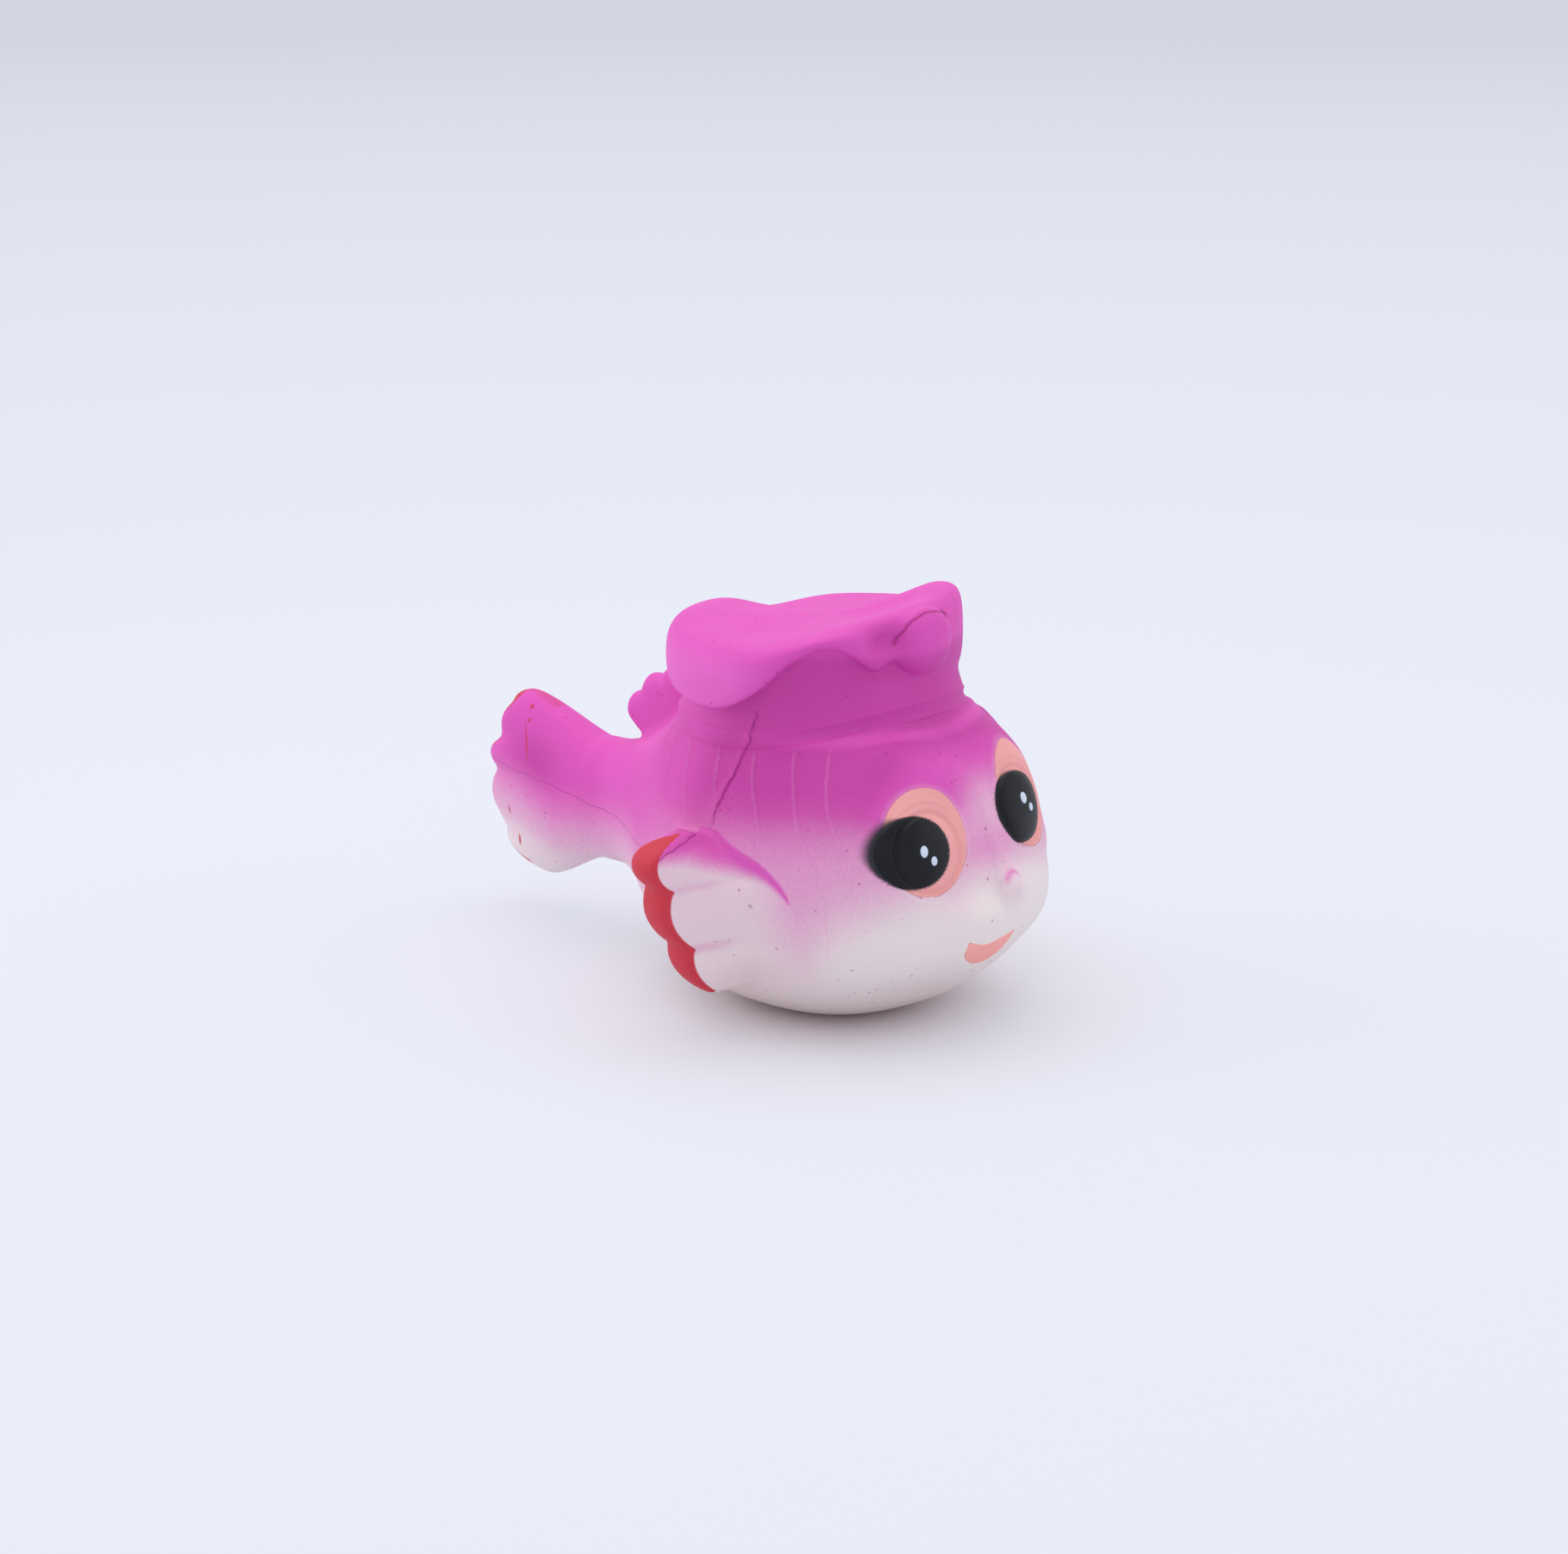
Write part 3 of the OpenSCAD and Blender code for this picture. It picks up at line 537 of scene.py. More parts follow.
def band_profile(angle):
    """A wall that draws in under the crown, over a low foot."""
    foot = cap_foot(angle)
    r = size("band_radius")
    neck = around_cap(BAND_R, angle) * r / TABLE_BAND
    spread = 1.3 - 0.8 * np.maximum(0, np.cos(np.radians(angle - 20)))
    radii = [0, 12, neck - 0.8, neck, mix(neck, r, 0.4), mix(neck, r, 0.8), r + 0.3 * spread,
             r + 0.8 * spread, r + spread, r + spread, r + spread, r - 1, 12, 0]
    top = np.minimum(foot + 13, 58.5)
    heights = [top, top, top, np.minimum(foot + 9, 57.5), foot + 6, foot + 4, foot + 3, foot + 2.2, foot + 1,
               foot - 0.4, foot - 2, foot - 5, foot - 6, foot - 6]
    return radii, heights


DENT = (38.6, -8.6, 62.3)
SOFT_SPOTS = [(-2.4, 3.2, *DENT), (0.5, 3.5, 44, -11, 45.5), (0.4, 3.0, 40, -14.5, 45)]


def soft_spots(p):
    """Dents and lumps of the foam: beside the badge and on the brow. Height, spread and place of each."""
    return sum(height * bell(away(p, [x, y, z]), spread) for height, spread, x, y, z in SOFT_SPOTS)


def piping_form(p):
    """Height of the two fine lines along the band's foot, as a share."""
    angle, r = cap_polar(p)
    above = p[:, 2] - cap_foot(angle)
    lines = bell(above - 1.8, 0.4) + bell(above + 0.6, 0.4)
    return lines * step(21, 22, r) * step(27, 26, r) * (p[:, 0] > -4)


BADGE = np.array([CAP_X + 20.7, -0.8, 61.2])


def badge():
    """The oval badge on the cap's front."""
    bm, d = ball(64, 48)
    place(bm, BADGE + d * [2.7, 6.4, 5.3])
    return bm


# Joining and carving the moulded form

def fuse(forms, voxel):
    """One closed bmesh from overlapping closed ones, with soft fillets where they meet."""
    whole = bpy.data.meshes.new("moulded_form")
    joined = bmesh.new()
    for form in forms:
        form.to_mesh(whole)
        form.free()
        joined.from_mesh(whole)
    joined.to_mesh(whole)
    joined.free()
    obj = bpy.data.objects.new("moulded_form", whole)
    bpy.context.scene.collection.objects.link(obj)
    remesh = obj.modifiers.new("fuse", "REMESH")
    remesh.mode = "VOXEL"
    remesh.voxel_size = voxel
    fused = bpy.data.meshes.new_from_object(obj.evaluated_get(bpy.context.evaluated_depsgraph_get()))
    bm = bmesh.new()
    bm.from_mesh(fused)
    bpy.data.objects.remove(obj)
    bpy.data.meshes.remove(whole)
    bpy.data.meshes.remove(fused)
    return bm


def soften(bm, verts, rounds):
    """Smooth vertices some times over."""
    for _ in range(rounds):
        bmesh.ops.smooth_vert(bm, verts=verts, factor=0.5, use_axis_x=True, use_axis_y=True, use_axis_z=True)


def cap_polar(p):
    """Degrees from the front and radius from the cap's axis."""
    return (np.degrees(np.arctan2(np.abs(p[:, 1]), p[:, 0] - CAP_X)),
            np.hypot(p[:, 0] - CAP_X, p[:, 1]))


def wobble(t, reach):
    """A fixed jagged line, for cracks that wander."""
    return reach * (np.sin(1.9 * t) + 0.6 * np.sin(4.7 * t + 1) + 0.35 * np.sin(11.3 * t + 2)) / 1.95


# The crack between front and rear skin: height and place along. The parting line: place along and height
SEAM_LINE = [(0, 20), (10, 17), (20, 15), (29, 15), (32, 17), (34, 20.8), (34.9, 21.2), (37.3, 21.4),
             (39.4, 22.1), (42, 22.8), (44.5, 23), (48, 22.7), (51, 22.9), (57, 24.4), (70, 24.4)]
# The tear that goes on along the upper front edge of a side fin: place across the fish and height
FIN_TEAR = [(29, 34.3), (30, 34), (31.5, 33.8), (33.4, 33.4), (34.6, 33), (37.3, 32.3), (39.7, 31.6),
            (41.4, 30.5), (44, 29)]
PARTING_LINE = [(-60, 27), (-52.5, 25.4), (-47, 25), (-40, 24.8), (-33, 24.2), (-26.5, 23.2), (-16, 23.6),
                (-5, 24.6), (6, 26.5), (16, 29)]
# The parting line shows up to here
PARTING_END = 17


def seam_gap(p):
    """Distance ahead of the crack between front and rear skin."""
    return p[:, 0] - table(SEAM_LINE, p[:, 2]) - wobble(0.8 * p[:, 2], 0.16)


def parting_gap(p):
    """Height above the parting line of the rear skin and tail."""
    return p[:, 2] - table(PARTING_LINE, p[:, 0]) - wobble(0.5 * p[:, 0], 0.18)


def tear_gap(p):
    """Height above the tear along the upper front edge of a side fin, far from it elsewhere."""
    x, y, z = p.T
    aside = np.abs(y)
    gap = z - table(FIN_TEAR, aside) - wobble(1.3 * aside, 0.12)
    return np.where((aside > 29.8) & (x > 17) & (x < 25), gap, -9)


# Hairlines: place along the fish at the band, lean forward per millimetre down, lower end
HAIRLINES = [(35.6, 0.465, 25), (31, 0.455, 15), (24.6, 0.455, 31), (17.7, 0.4, 35), (10.8, 0.385, 34),
             (4.5, 0.37, 34), (0, 0.37, 36)]


def hairline_form(p):
    """Height of the fine raised mould lines that slant forward down the flank from the band, as a share."""
    x, _, z = p.T
    angle, r = cap_polar(p)
    total = np.zeros(len(p))
    for i, (at, lean, end) in enumerate(HAIRLINES):
        across = x - at - lean * (46 - z) - 0.12 * np.sin(0.6 * z + 2 * i)
        across += 0.02 * np.maximum(0, 30 - z) ** 2
        total += bell(across, 0.18) * step(end - 3, end + 8, z)
    return total * step(45.6, 44.4, z - 0.6 * (cap_foot(angle) - CAP_FOOT)) * step(22.5, 24, r)


def eye_form(p):
    """Height of the moulded eye: a low dome inside two fine rings."""
    across, up, depth = eye_plane(p, {1: DOME_AXES, -1: DOME_AXES})
    r = np.hypot(across, up)
    dome = 1.1 * np.clip(1 - (r / 5.7) ** 2, 0, 1) ** 0.55
    ring = -0.2 * bell(r - 6.1, 0.35) + 0.16 * bell(r - 6.8, 0.3) + 0.16 * bell(r - 7.8, 0.3)
    return np.where((np.abs(depth) < 5) & (p[:, 0] > 40), dome + ring, 0)


NOSE = np.array([55.8, 2.2, 25.0])


def nose_away(p):
    """Distances from the nose, which is long from front to rear."""
    return np.linalg.norm((p - NOSE) * [0.6, 1, 1], axis=1)


def nose_form(p):
    """Height of the small nose."""
    return 1.5 * bell(nose_away(p), 2.0)


def badge_crack_and_crease_shade(p):
    """Nearness to the torn line round the upper rim of the badge and its torn flap, and to a line of painted
    shade down the crease at the crown's front peak.
    """
    x, y, z = p.T
    across, up = (y - BADGE[1]) / 6.5, (z - BADGE[2]) / 4.7
    turn = np.degrees(np.arctan2(up, across))
    rim = np.hypot(across, up) - 1.0 - wobble(turn / 9, 0.012)
    part = step(-25, 5, turn) * step(200, 165, turn)
    peak = np.degrees(np.arctan2(y, x - CAP_X)) - 36 + 2.5 * (68 - z)
    # A dark line down the crease at the crown's front peak: painted shade
    crease = 0.5 * bell(np.radians(peak) * 21, 0.15) * step(62.5, 65, z)
    flap = 0.9 * step(12, 5, np.abs(turn - 42)) * step(0.9, 0.5, np.abs(rim * 6 - 0.3))
    return np.maximum(np.maximum(0.9 * bell(rim * 6, 0.15) * part, flap), crease) * (x > CAP_X + 17)


def fin_local(p):
    """Out, forward and up places in a side fin's own frame, folded to the left fin."""
    q = folded(p) - FIN_MID
    return q @ FIN_OUT, q @ FIN_FRONT, q @ FIN_UP


PIECES = ["front_skin_side", "front_skin_face", "upper_back_skin", "lower_back_skin", "tail_upper",
          "tail_lower", "tail_edge", "dorsal_fin", "left_fin", "left_fin_edge", "right_fin",
          "right_fin_edge", "cap_band", "cap_crown", "cap_badge"]
CODE = {name: i for i, name in enumerate(PIECES)}
TAIL_CUT = HINGE[0] + 8
# Width of the tail's red rim along its half height
TAIL_RED = [(-1, 0.35), (0, 0.4), (0.33, 1), (0.45, 0.5), (0.7, 0.7), (0.85, 1.2), (1, 1.8)]


def red_reach(p):
    """How far inside the red painted rims of tail and fins, in millimetres."""
    x, y, z = p.T
    v = (z - HINGE[2] - TAIL_RISE) / tail_half(np.ones(1))[0]
    v = np.clip(v / np.where(v < 0, TAIL_LOW, TAIL_TOP), -1, 1)
    behind = HINGE[0] - x
    tail = 0.2 * (behind - (tail_reach(v) - table(TAIL_RED, v)))
    k = np.clip(behind / tail_reach(np.ones(1))[0], 0, 1)
    crest = z - HINGE[2] - TAIL_RISE * k - TAIL_TOP * tail_half(k) + 1.7 * step(19, 21.5, behind)
    tail = np.where(behind > 12, np.maximum(tail, 0.3 * crest), -5)
    out, _, up = fin_local(p)
    fin = out - (fin_reach(table(FIN_LOBES, up)) - 0.55)
    return np.maximum(tail, np.where((out > 0.6) & (np.abs(y) > 28), fin, -5))


# Small red strokes on the right side of the tail: place along and up, lean, half width and half height
STROKES = [(-44.7, 30.6, -0.18, 0.2, 2.9), (-44.8, 36.6, 0, 0.35, 0.4), (-44.5, 34.4, 0, 0.25, 0.4),
           (-49.6, 17.6, 0, 0.2, 0.8), (-47.6, 12.5, 0, 0.28, 1)]


def strokes(p):
    """How far inside a small stroke of red paint on the tail, in millimetres."""
    x, y, z = p.T
    reach = [(1 - np.hypot((x - at - lean * (z - up)) / wide, (z - up) / high)) * wide
             for at, up, lean, wide, high in STROKES]
    return np.where(y < 0, np.max(reach, axis=0), -5)


def fin_lobes(p):
    """Height of the puffed lobes on the white faces of the side fins, as a share."""
    out, fore, up = fin_local(p)
    puff = 0.4 - scallop(table(FIN_LOBES, up), 3, 1)
    near = step(-9, -1, out) * step(0.4, -1.2, red_reach(p)) * (fore > -2)
    near = near * step(13.5, 10, np.abs(up)) * step(24, 27, np.abs(p[:, 1]))
    return np.where((p[:, 0] > 12) & (p[:, 0] < 40), puff * near, 0)


def piece_codes(p):
    """Which piece each place on the moulded form belongs to."""
    x, y, z = p.T
    upper = parting_gap(p) > 0
    code = np.where(seam_gap(p) > 0, CODE["front_skin_side"],
                    np.where(upper, CODE["upper_back_skin"], CODE["lower_back_skin"]))
    code[x > FACE_X] = CODE["front_skin_face"]
    red = red_reach(p) > 0
    tail = x < TAIL_CUT
    halves = np.where(upper, CODE["tail_upper"], CODE["tail_lower"])
    code[tail] = np.where(red, CODE["tail_edge"], halves)[tail]
    fin = (fin_local(p)[0] > FIN_CUT) & (np.abs(y) > 27) & (x < 36)
    for side, sign in (("left", 1), ("right", -1)):
        mine = fin & (y * sign > 0)
        code[mine] = np.where(red, CODE[side + "_fin_edge"], CODE[side + "_fin"])[mine]
    q = p - BACK_FIN_MID
    rise, along = q @ BACK_FIN_UP, q @ BACK_FIN_ALONG
    back_fin = (rise > BACK_FIN_CUT) & (rise < 9) & (np.abs(y) < 6) & (np.abs(along) < 9.6)
    code[back_fin] = CODE["dorsal_fin"]
    r = cap_polar(p)[1]
    cap = (((r < 24.0) & (z > 43)) | ((r < 28) & (z > CROWN_LOW))) & (x > -7.4) & ~back_fin
    band = ((z < 60) & (r < 21.6)) | (z < CROWN_LOW)
    code[cap] = np.where(band, CODE["cap_band"], CODE["cap_crown"])[cap]
    oval = ((y - BADGE[1]) / 6.4) ** 2 + ((z - BADGE[2]) / 5.2) ** 2
    code[cap & (x > CAP_X + 20) & (oval < 1)] = CODE["cap_badge"]
    return code


# Airbrushed pink: the height of its middle along the fish, and its share above that for back and front
PINK_LINE = [(-60, 20), (-47.5, 18.5), (-37.5, 15.5), (-24, 17.5), (-16, 19.3), (-10, 20.3), (0, 21),
             (10, 21.5), (17, 21.5), (22, 22.5), (30, 23), (37, 24), (41.5, 27), (46, 28.5), (51, 30.5),
             (57, 34)]
PINK_REAR = [(-11, 0.03), (-7, 0.12), (-4, 0.25), (-1.5, 0.48), (1, 0.62), (4, 0.82), (6, 0.91), (8, 0.97),
             (10, 1)]
PINK_FORE = [(-26, 0), (-17, 0.02), (-13, 0.08), (-9.9, 0.2), (-5.7, 0.38), (-1.7, 0.52), (2, 0.61),
             (5.8, 0.65), (9.8, 0.77), (14.5, 0.97), (18, 1)]
# The fold between flank and side fin, where pink is painted as shade: place along and height, and how far
# that painted shade reaches down
FOLD = [(18, 34), (20, 34.2), (22.1, 34), (23.8, 33), (25.8, 32), (27.9, 31.2), (30, 30.3), (31.6, 29.2),
        (32.8, 28.1), (34.1, 26.7), (35.2, 25.1), (36.5, 23)]
FOLD_REACH = [(20, 4), (24, 4.4), (28, 4), (32, 2.6), (35, 1.4)]


def pink_share(p, code):
    """How much airbrushed pink lies on each place, with pink also painted as shade in the fold above a side
    fin and in the valleys between its lobes.
    """
    x, y, z = p.T
    above = z - table(PINK_LINE, x)
    fore = table(PINK_FORE, above * (1 + 0.06 * np.maximum(0, x - 37)))
    share = mix(table(PINK_REAR, above), fore, step(-5, 20, x))
    nose = nose_away(p)
    haze = (0.25 * bell((z - 30.8) / 2.6, 1) * bell((y + 0.5) / 5, 1) * step(50, 52, x)
            + 0.15 * bell(away(p, [52.5, -9.5, 25]), 4.5)
            + 0.6 * bell(nose - 1.9, 0.4) * step(25, 26.2, z) + 0.15 * bell(nose, 4))
    clear = bell((z - 37.3) / 4, 1) * bell((y - 2.5) / 5.5, 1) * step(45, 48, x)
    share = (share + (1 - share) * haze) * (1 - 0.42 * clear)
    share = share * (1 - 0.12 * bell(oval_reach(p, PATCH)[0] + 0.2, 0.4))

    out, fore, up = fin_local(p)
    aside = np.abs(y)
    below = table(FOLD, x) - z
    fin = step(38, 28, x) * (aside > 20) * step(17.5, 19.5, x - 2.2 * step(31, 33, z))
    white = step(-0.3, 1.5, below) * fin * step(-12, -6, up)
    # Pink painted as shade in the fold between flank and side fin
    fold = step(-1.3, 0.4, below) * step(1.35, 0.4, below / table(FOLD_REACH, x)) * step(36.4, 34.8, x)
    # Pink painted as shade in the valleys between the side fin's lobes
    notches = bell(up - FIN_LOBES[1][0], 1.1) + bell(up - FIN_LOBES[2][0], 1.1)
    valley = notches * step(-5, 1, out) * (fore > 0)
    share = np.maximum(share * (1 - 0.65 * white), 0.97 * fold * (aside > 20) * step(17, 19, x))
    share = np.maximum(share, 0.35 * valley * (aside > 24))
    share = np.maximum(share, 0.95 * step(-0.1, 0.15, tear_gap(p)))
    cap = np.isin(code, [CODE["cap_band"], CODE["cap_crown"], CODE["cap_badge"], CODE["dorsal_fin"]])
    return np.where(cap, 1.0, share)


def deep_and_shade_share(p):
    """Where the pink is deeper: painted shade on the band under the crown's brim, in the dent beside the
    badge and in the tail's hollow, and a darker pink on the brow and upper flanks.
    """
    x, _, z = p.T
    angle, r = cap_polar(p)
    flanks = step(28, 42, z) * (0.35 + 0.65 * step(10, 20, x)) * step(-8, 6, x) * step(47.5, 42.5, x)
    flanks = flanks * (1 - 0.25 * step(28, 38, x))
    band = 0.72 * step(24.3, 22.6, r) * step(61, 59, z) * step(112, 80, angle)
    dent = 0.6 * bell(away(p, DENT), 3.5)
    tail = 0.75 * bell((x + 42) / 7, 1) * bell((z - 28) / 4.5, 1)
    cap = step(46, 48, z) * step(26, 25, r)
    return np.maximum(mix(flanks, band, cap), np.maximum(dent, tail))


def painted_highlight_share(p):
    """Where a painted highlight lightens the pink: the front of the crown's hanging rear lobe."""
    x, y, z = p.T
    angle = np.degrees(np.arctan2(y, x - CAP_X))
    angle = np.where(angle > 0, angle - 360, angle)
    lobe = step(-165, -135, angle) * step(-60, -90, angle)
    return 0.32 * lobe * step(61, 57, z) * step(49.8, 51.5, z) * step(22.8, 23.6, cap_polar(p)[1])


# Ovals of the eye paint for the left and the right eye: middle across and up in its plane, half sizes
BLACK = {1: (0.9, 0.0, 6.15, 5.6), -1: (-2.9, 0.3, 6.6, 5.5)}
PATCH = {1: (-1.9, 1.7, 6.9, 8.7), -1: (0.0, 1.5, 7.8, 8.3)}
GLINTS = {1: ((0.45, 1.2, 0.85, 0.95), (-1.15, -0.6, 0.6, 0.7)),
          -1: ((-1.35, 0.4, 0.7, 0.95), (0.3, -1.2, 0.6, 0.75))}


def oval_reach(p, ovals):
    """How far inside an oval of the eye paint, in millimetres, and the places across and up."""
    across, up, depth = eye_plane(p, PAINT_AXES)
    a, u, wide, high = (np.where(p[:, 1] > 0, ovals[1][i], ovals[-1][i]) for i in range(4))
    r = np.hypot((across - a) / wide, (up - u) / high)
    return np.where((p[:, 0] > 36) & (np.abs(depth) < 9), (1 - r) * wide, -20), across, up


def black_share(p):
    """How much black of a pupil lies on each place. The right one is sprayed off, with a misty rear."""
    reach, across, up = oval_reach(p, BLACK)
    soft = 0.2 + 1.6 * step(-4, -8, across) * step(-4, 1, up) * (p[:, 1] < 0)
    return step(-1, 0.1, reach / soft)


def settle(bm):
    """Soften the joined form, and more so where the cap's band and the back fin meet the body."""
    soften(bm, bm.verts[:], 4)
    p = places(bm)
    x, y, z = p.T
    r = cap_polar(p)[1]
    foot = bell(z - CAP_FOOT, 2.5) * (r > 21) * (r < 28)
    root = bell((p - BACK_FIN_MID) @ BACK_FIN_UP + 1.5, 2.0) * (np.abs(y) < 8) * (x < -5) * (x > -28)
    soften(bm, [v for v, near in zip(bm.verts, np.maximum(foot, root)) if near > 0.4], 8)


def refine(bm, first):
    """Divide the joined form where fine details and sharp paint edges lie. Broad ones need only the first
    division."""
    p = places(bm)
    x, y, z = p.T
    aside = np.abs(y)
    fine = ((np.abs(seam_gap(p)) < 0.9) & (z > 29) & (aside > MIDDLE)
            | (np.abs(parting_gap(p)) < 0.8) & (x < PARTING_END)
            | (np.abs(tear_gap(p)) < 0.7)
            | (hairline_form(p) > 0.05) & (aside > MIDDLE)
            | (piping_form(p) > 0.1)
            | (badge_crack_and_crease_shade(p) > 0.05)
            | (strokes(p) > -0.4)
            | (np.abs(table(FOLD, x) - z) < 1.6) & (aside > 24) & first
            | (oval_reach(p, PATCH)[0] > -1) & first)
    verts = {v for v, near in zip(bm.verts, fine) if near}
    edges = [e for e in bm.edges if e.verts[0] in verts and e.verts[1] in verts]
    bmesh.ops.subdivide_edges(bm, edges=edges, cuts=1, use_grid_fill=True)


def carve(p, normal):
    """Raise and cut the fine details. Gives the new places and how open a crack is at each; that share also
    holds the painted shade down the crease at the crown's front peak.
    """
    x, y, z = p.T
    side = np.abs(y) > MIDDLE
    # tear also carries the painted shade down the crease at the crown's front peak
    seam, parting, tear = seam_gap(p), parting_gap(p), badge_crack_and_crease_shade(p)
    open_seam = side * step(33, 34, z) * step(51.6, 50.6, z)
    open_part = (x < PARTING_END) & (seam < 0.5) & (np.abs(parting) < 3)
    off_red = step(0.2, -0.4, red_reach(p))
    crack = np.maximum(0.5 * bell(seam, 0.07) * open_seam, 0.6 * bell(parting, 0.09) * open_part)
    groove = crack * off_red * step(33, 36, z + 20 * (x < 10))
    crack = np.maximum(crack, bell(tear_gap(p), 0.1)) * off_red
    lip = step(1.6, 0.1, -seam) * (seam < 0) * open_seam * step(34, 37, z)
    lift = (size("hairline") * hairline_form(p) * side + eye_form(p) + nose_form(p) + soft_spots(p)
            + 0.2 * piping_form(p) + 0.7 * fin_lobes(p) + 0.3 * lip
            - size("crack") * np.maximum(groove, tear))
    return p + normal * lift[:, None], np.maximum(crack, tear)


def mark(bm, name, values):
    """Write a value for each vertex that the paint reads."""
    layer = bm.verts.layers.float.new(name)
    for vert, value in zip(bm.verts, values):
        vert[layer] = value


class FISH_OT_mould(bpy.types.Operator):
    """Join body, tail, fins and cap into one moulded form, carve its fine details and mark its paint"""

    bl_idname = "fish.mould"
    bl_label = "Mould the joined form"

    def execute(self, context):
        fin = two_sheets(72, 90, fin_sheet)
        forms = [trunk(), two_sheets(80, 120, tail_sheet), fin, mirrored(fin),
                 two_sheets(40, 60, back_fin_sheet), cap_form(crown_profile), cap_form(band_profile),
                 badge()]
        bm = fuse(forms, 0.45)
        settle(bm)
        for division in range(2):
            refine(bm, division == 0)
        bm.normal_update()
        p = places(bm)
        code = piece_codes(p)
        flanks = np.abs(p[:, 1]) > MIDDLE
        p, crack = carve(p, np.array([v.normal for v in bm.verts], float))
        place(bm, p)
        mark(bm, "pink", pink_share(p, code))
        mark(bm, "deep", deep_and_shade_share(p))
        # The pale share is a painted highlight on the crown's rear lobe
        mark(bm, "pale", painted_highlight_share(p))
        mark(bm, "hairline", hairline_form(p) * flanks)
        mark(bm, "red_reach", np.maximum(red_reach(p), strokes(p)))
        mark(bm, "black", black_share(p))
        mark(bm, "crack", crack)
        piece = bm.faces.layers.int.new("piece")
        for face, value in zip(bm.faces, piece_codes(np.array([f.calc_center_median() for f in bm.faces]))):
            face[piece] = int(value)
            face.smooth = True
        mesh = bpy.data.meshes.new("moulded_form")
        bm.to_mesh(mesh)
        bm.free()
        return {"FINISHED"}


def cut_piece(name):
    """The part of the moulded form that one piece takes, as an open bmesh."""
    bm = bmesh.new()
    bm.from_mesh(bpy.data.meshes["moulded_form"])
    piece = bm.faces.layers.int["piece"]
    bmesh.ops.delete(bm, geom=[f for f in bm.faces if f[piece] != CODE[name]], context="FACES")
    if not bm.faces:
        raise RuntimeError("the moulded form has no faces for " + name)
    # Where the cut meets itself at a vertex, the vertex is parted, so that the piece can be closed
    for vert in bm.verts[:]:
        rim = [e for e in vert.link_edges if e.is_boundary]
        if len(rim) > 2:
            bmesh.utils.vert_separate(vert, rim)
    for edge in bm.edges:
        edge.smooth = not edge.is_boundary
    return bm


def lined(bm, thickness):
    """Give a cut piece its thickness, inwards, so that it is closed. The extrusion expects to go outwards
    and turns the first faces over, so all faces are turned at the end."""
    bm.normal_update()
    made = bmesh.ops.extrude_face_region(bm, geom=bm.faces[:], use_keep_orig=True)
    for vert in [g for g in made["geom"] if isinstance(g, bmesh.types.BMVert)]:
        vert.co -= thickness * vert.normal
    bmesh.ops.reverse_faces(bm, faces=bm.faces[:])
    return bm


def finish_piece(bm, name, body, nodes, material):
    """A finished object in metres that stands for CAD nodes."""
    bmesh.ops.scale(bm, vec=(MM, MM, MM), verts=bm.verts[:])
    mesh = bpy.data.meshes.new(name)
    bm.to_mesh(mesh)
    bm.free()
    mesh.materials.append(material)
    obj = bpy.data.objects.new(name, mesh)
    bpy.context.scene.collection.objects.link(obj)
    if body:
        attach(obj, body)
    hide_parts(*nodes)
    return obj


# Materials

# Sizes of the patterns in millimetres: cells with a pinhole each, the largest hole's radius, clusters of
# larger holes, grain and swell of the skin, spray speckles, and clouds in sprayed and in brushed coats
HOLE_CELL = 1.923
HOLE_RADIUS = 0.298
HOLE_CLUSTER = 6.25
GRAIN = 0.2632
GRAIN_DEPTH = 0.06
SWELL = 2.381
SPECKLE = 0.3846
SPRAY_CLOUD = 11.11
BRUSH_CLOUD = 4.167
# Settings of nodes
RGBA = {"data_type": "RGBA"}
SUBTRACT = {"operation": "SUBTRACT"}
MULTIPLY = {"operation": "MULTIPLY"}
MULTIPLY_ADD = {"operation": "MULTIPLY_ADD"}


def add(tree, kind, settings=None, out=0, **inputs):
    """Add a node with its settings and give one of its outputs. An input goes by its name, or by its number
    as i0, i1 and so on. It is a value, or another node's output to link."""
    node = tree.nodes.new(kind)
    for key, value in (settings or {}).items():
        setattr(node, key, value)
    for key, value in inputs.items():
        numbered = key[0] == "i" and key[1:].isdigit()
        socket = node.inputs[int(key[1:]) if numbered else key.replace("_", " ")]
        if isinstance(value, bpy.types.NodeSocket):
            tree.links.new(value, socket)
        else:
            socket.default_value = value
    return node.outputs[out]


def new_material(name):
    """A material with its tree and shader, or the one made before, without them."""
    found = bpy.data.materials.get(name)
    if found:
        return found, None, None
    material = bpy.data.materials.new(name)
    material.use_nodes = True
    tree = material.node_tree
    return material, tree, tree.nodes["Principled BSDF"]


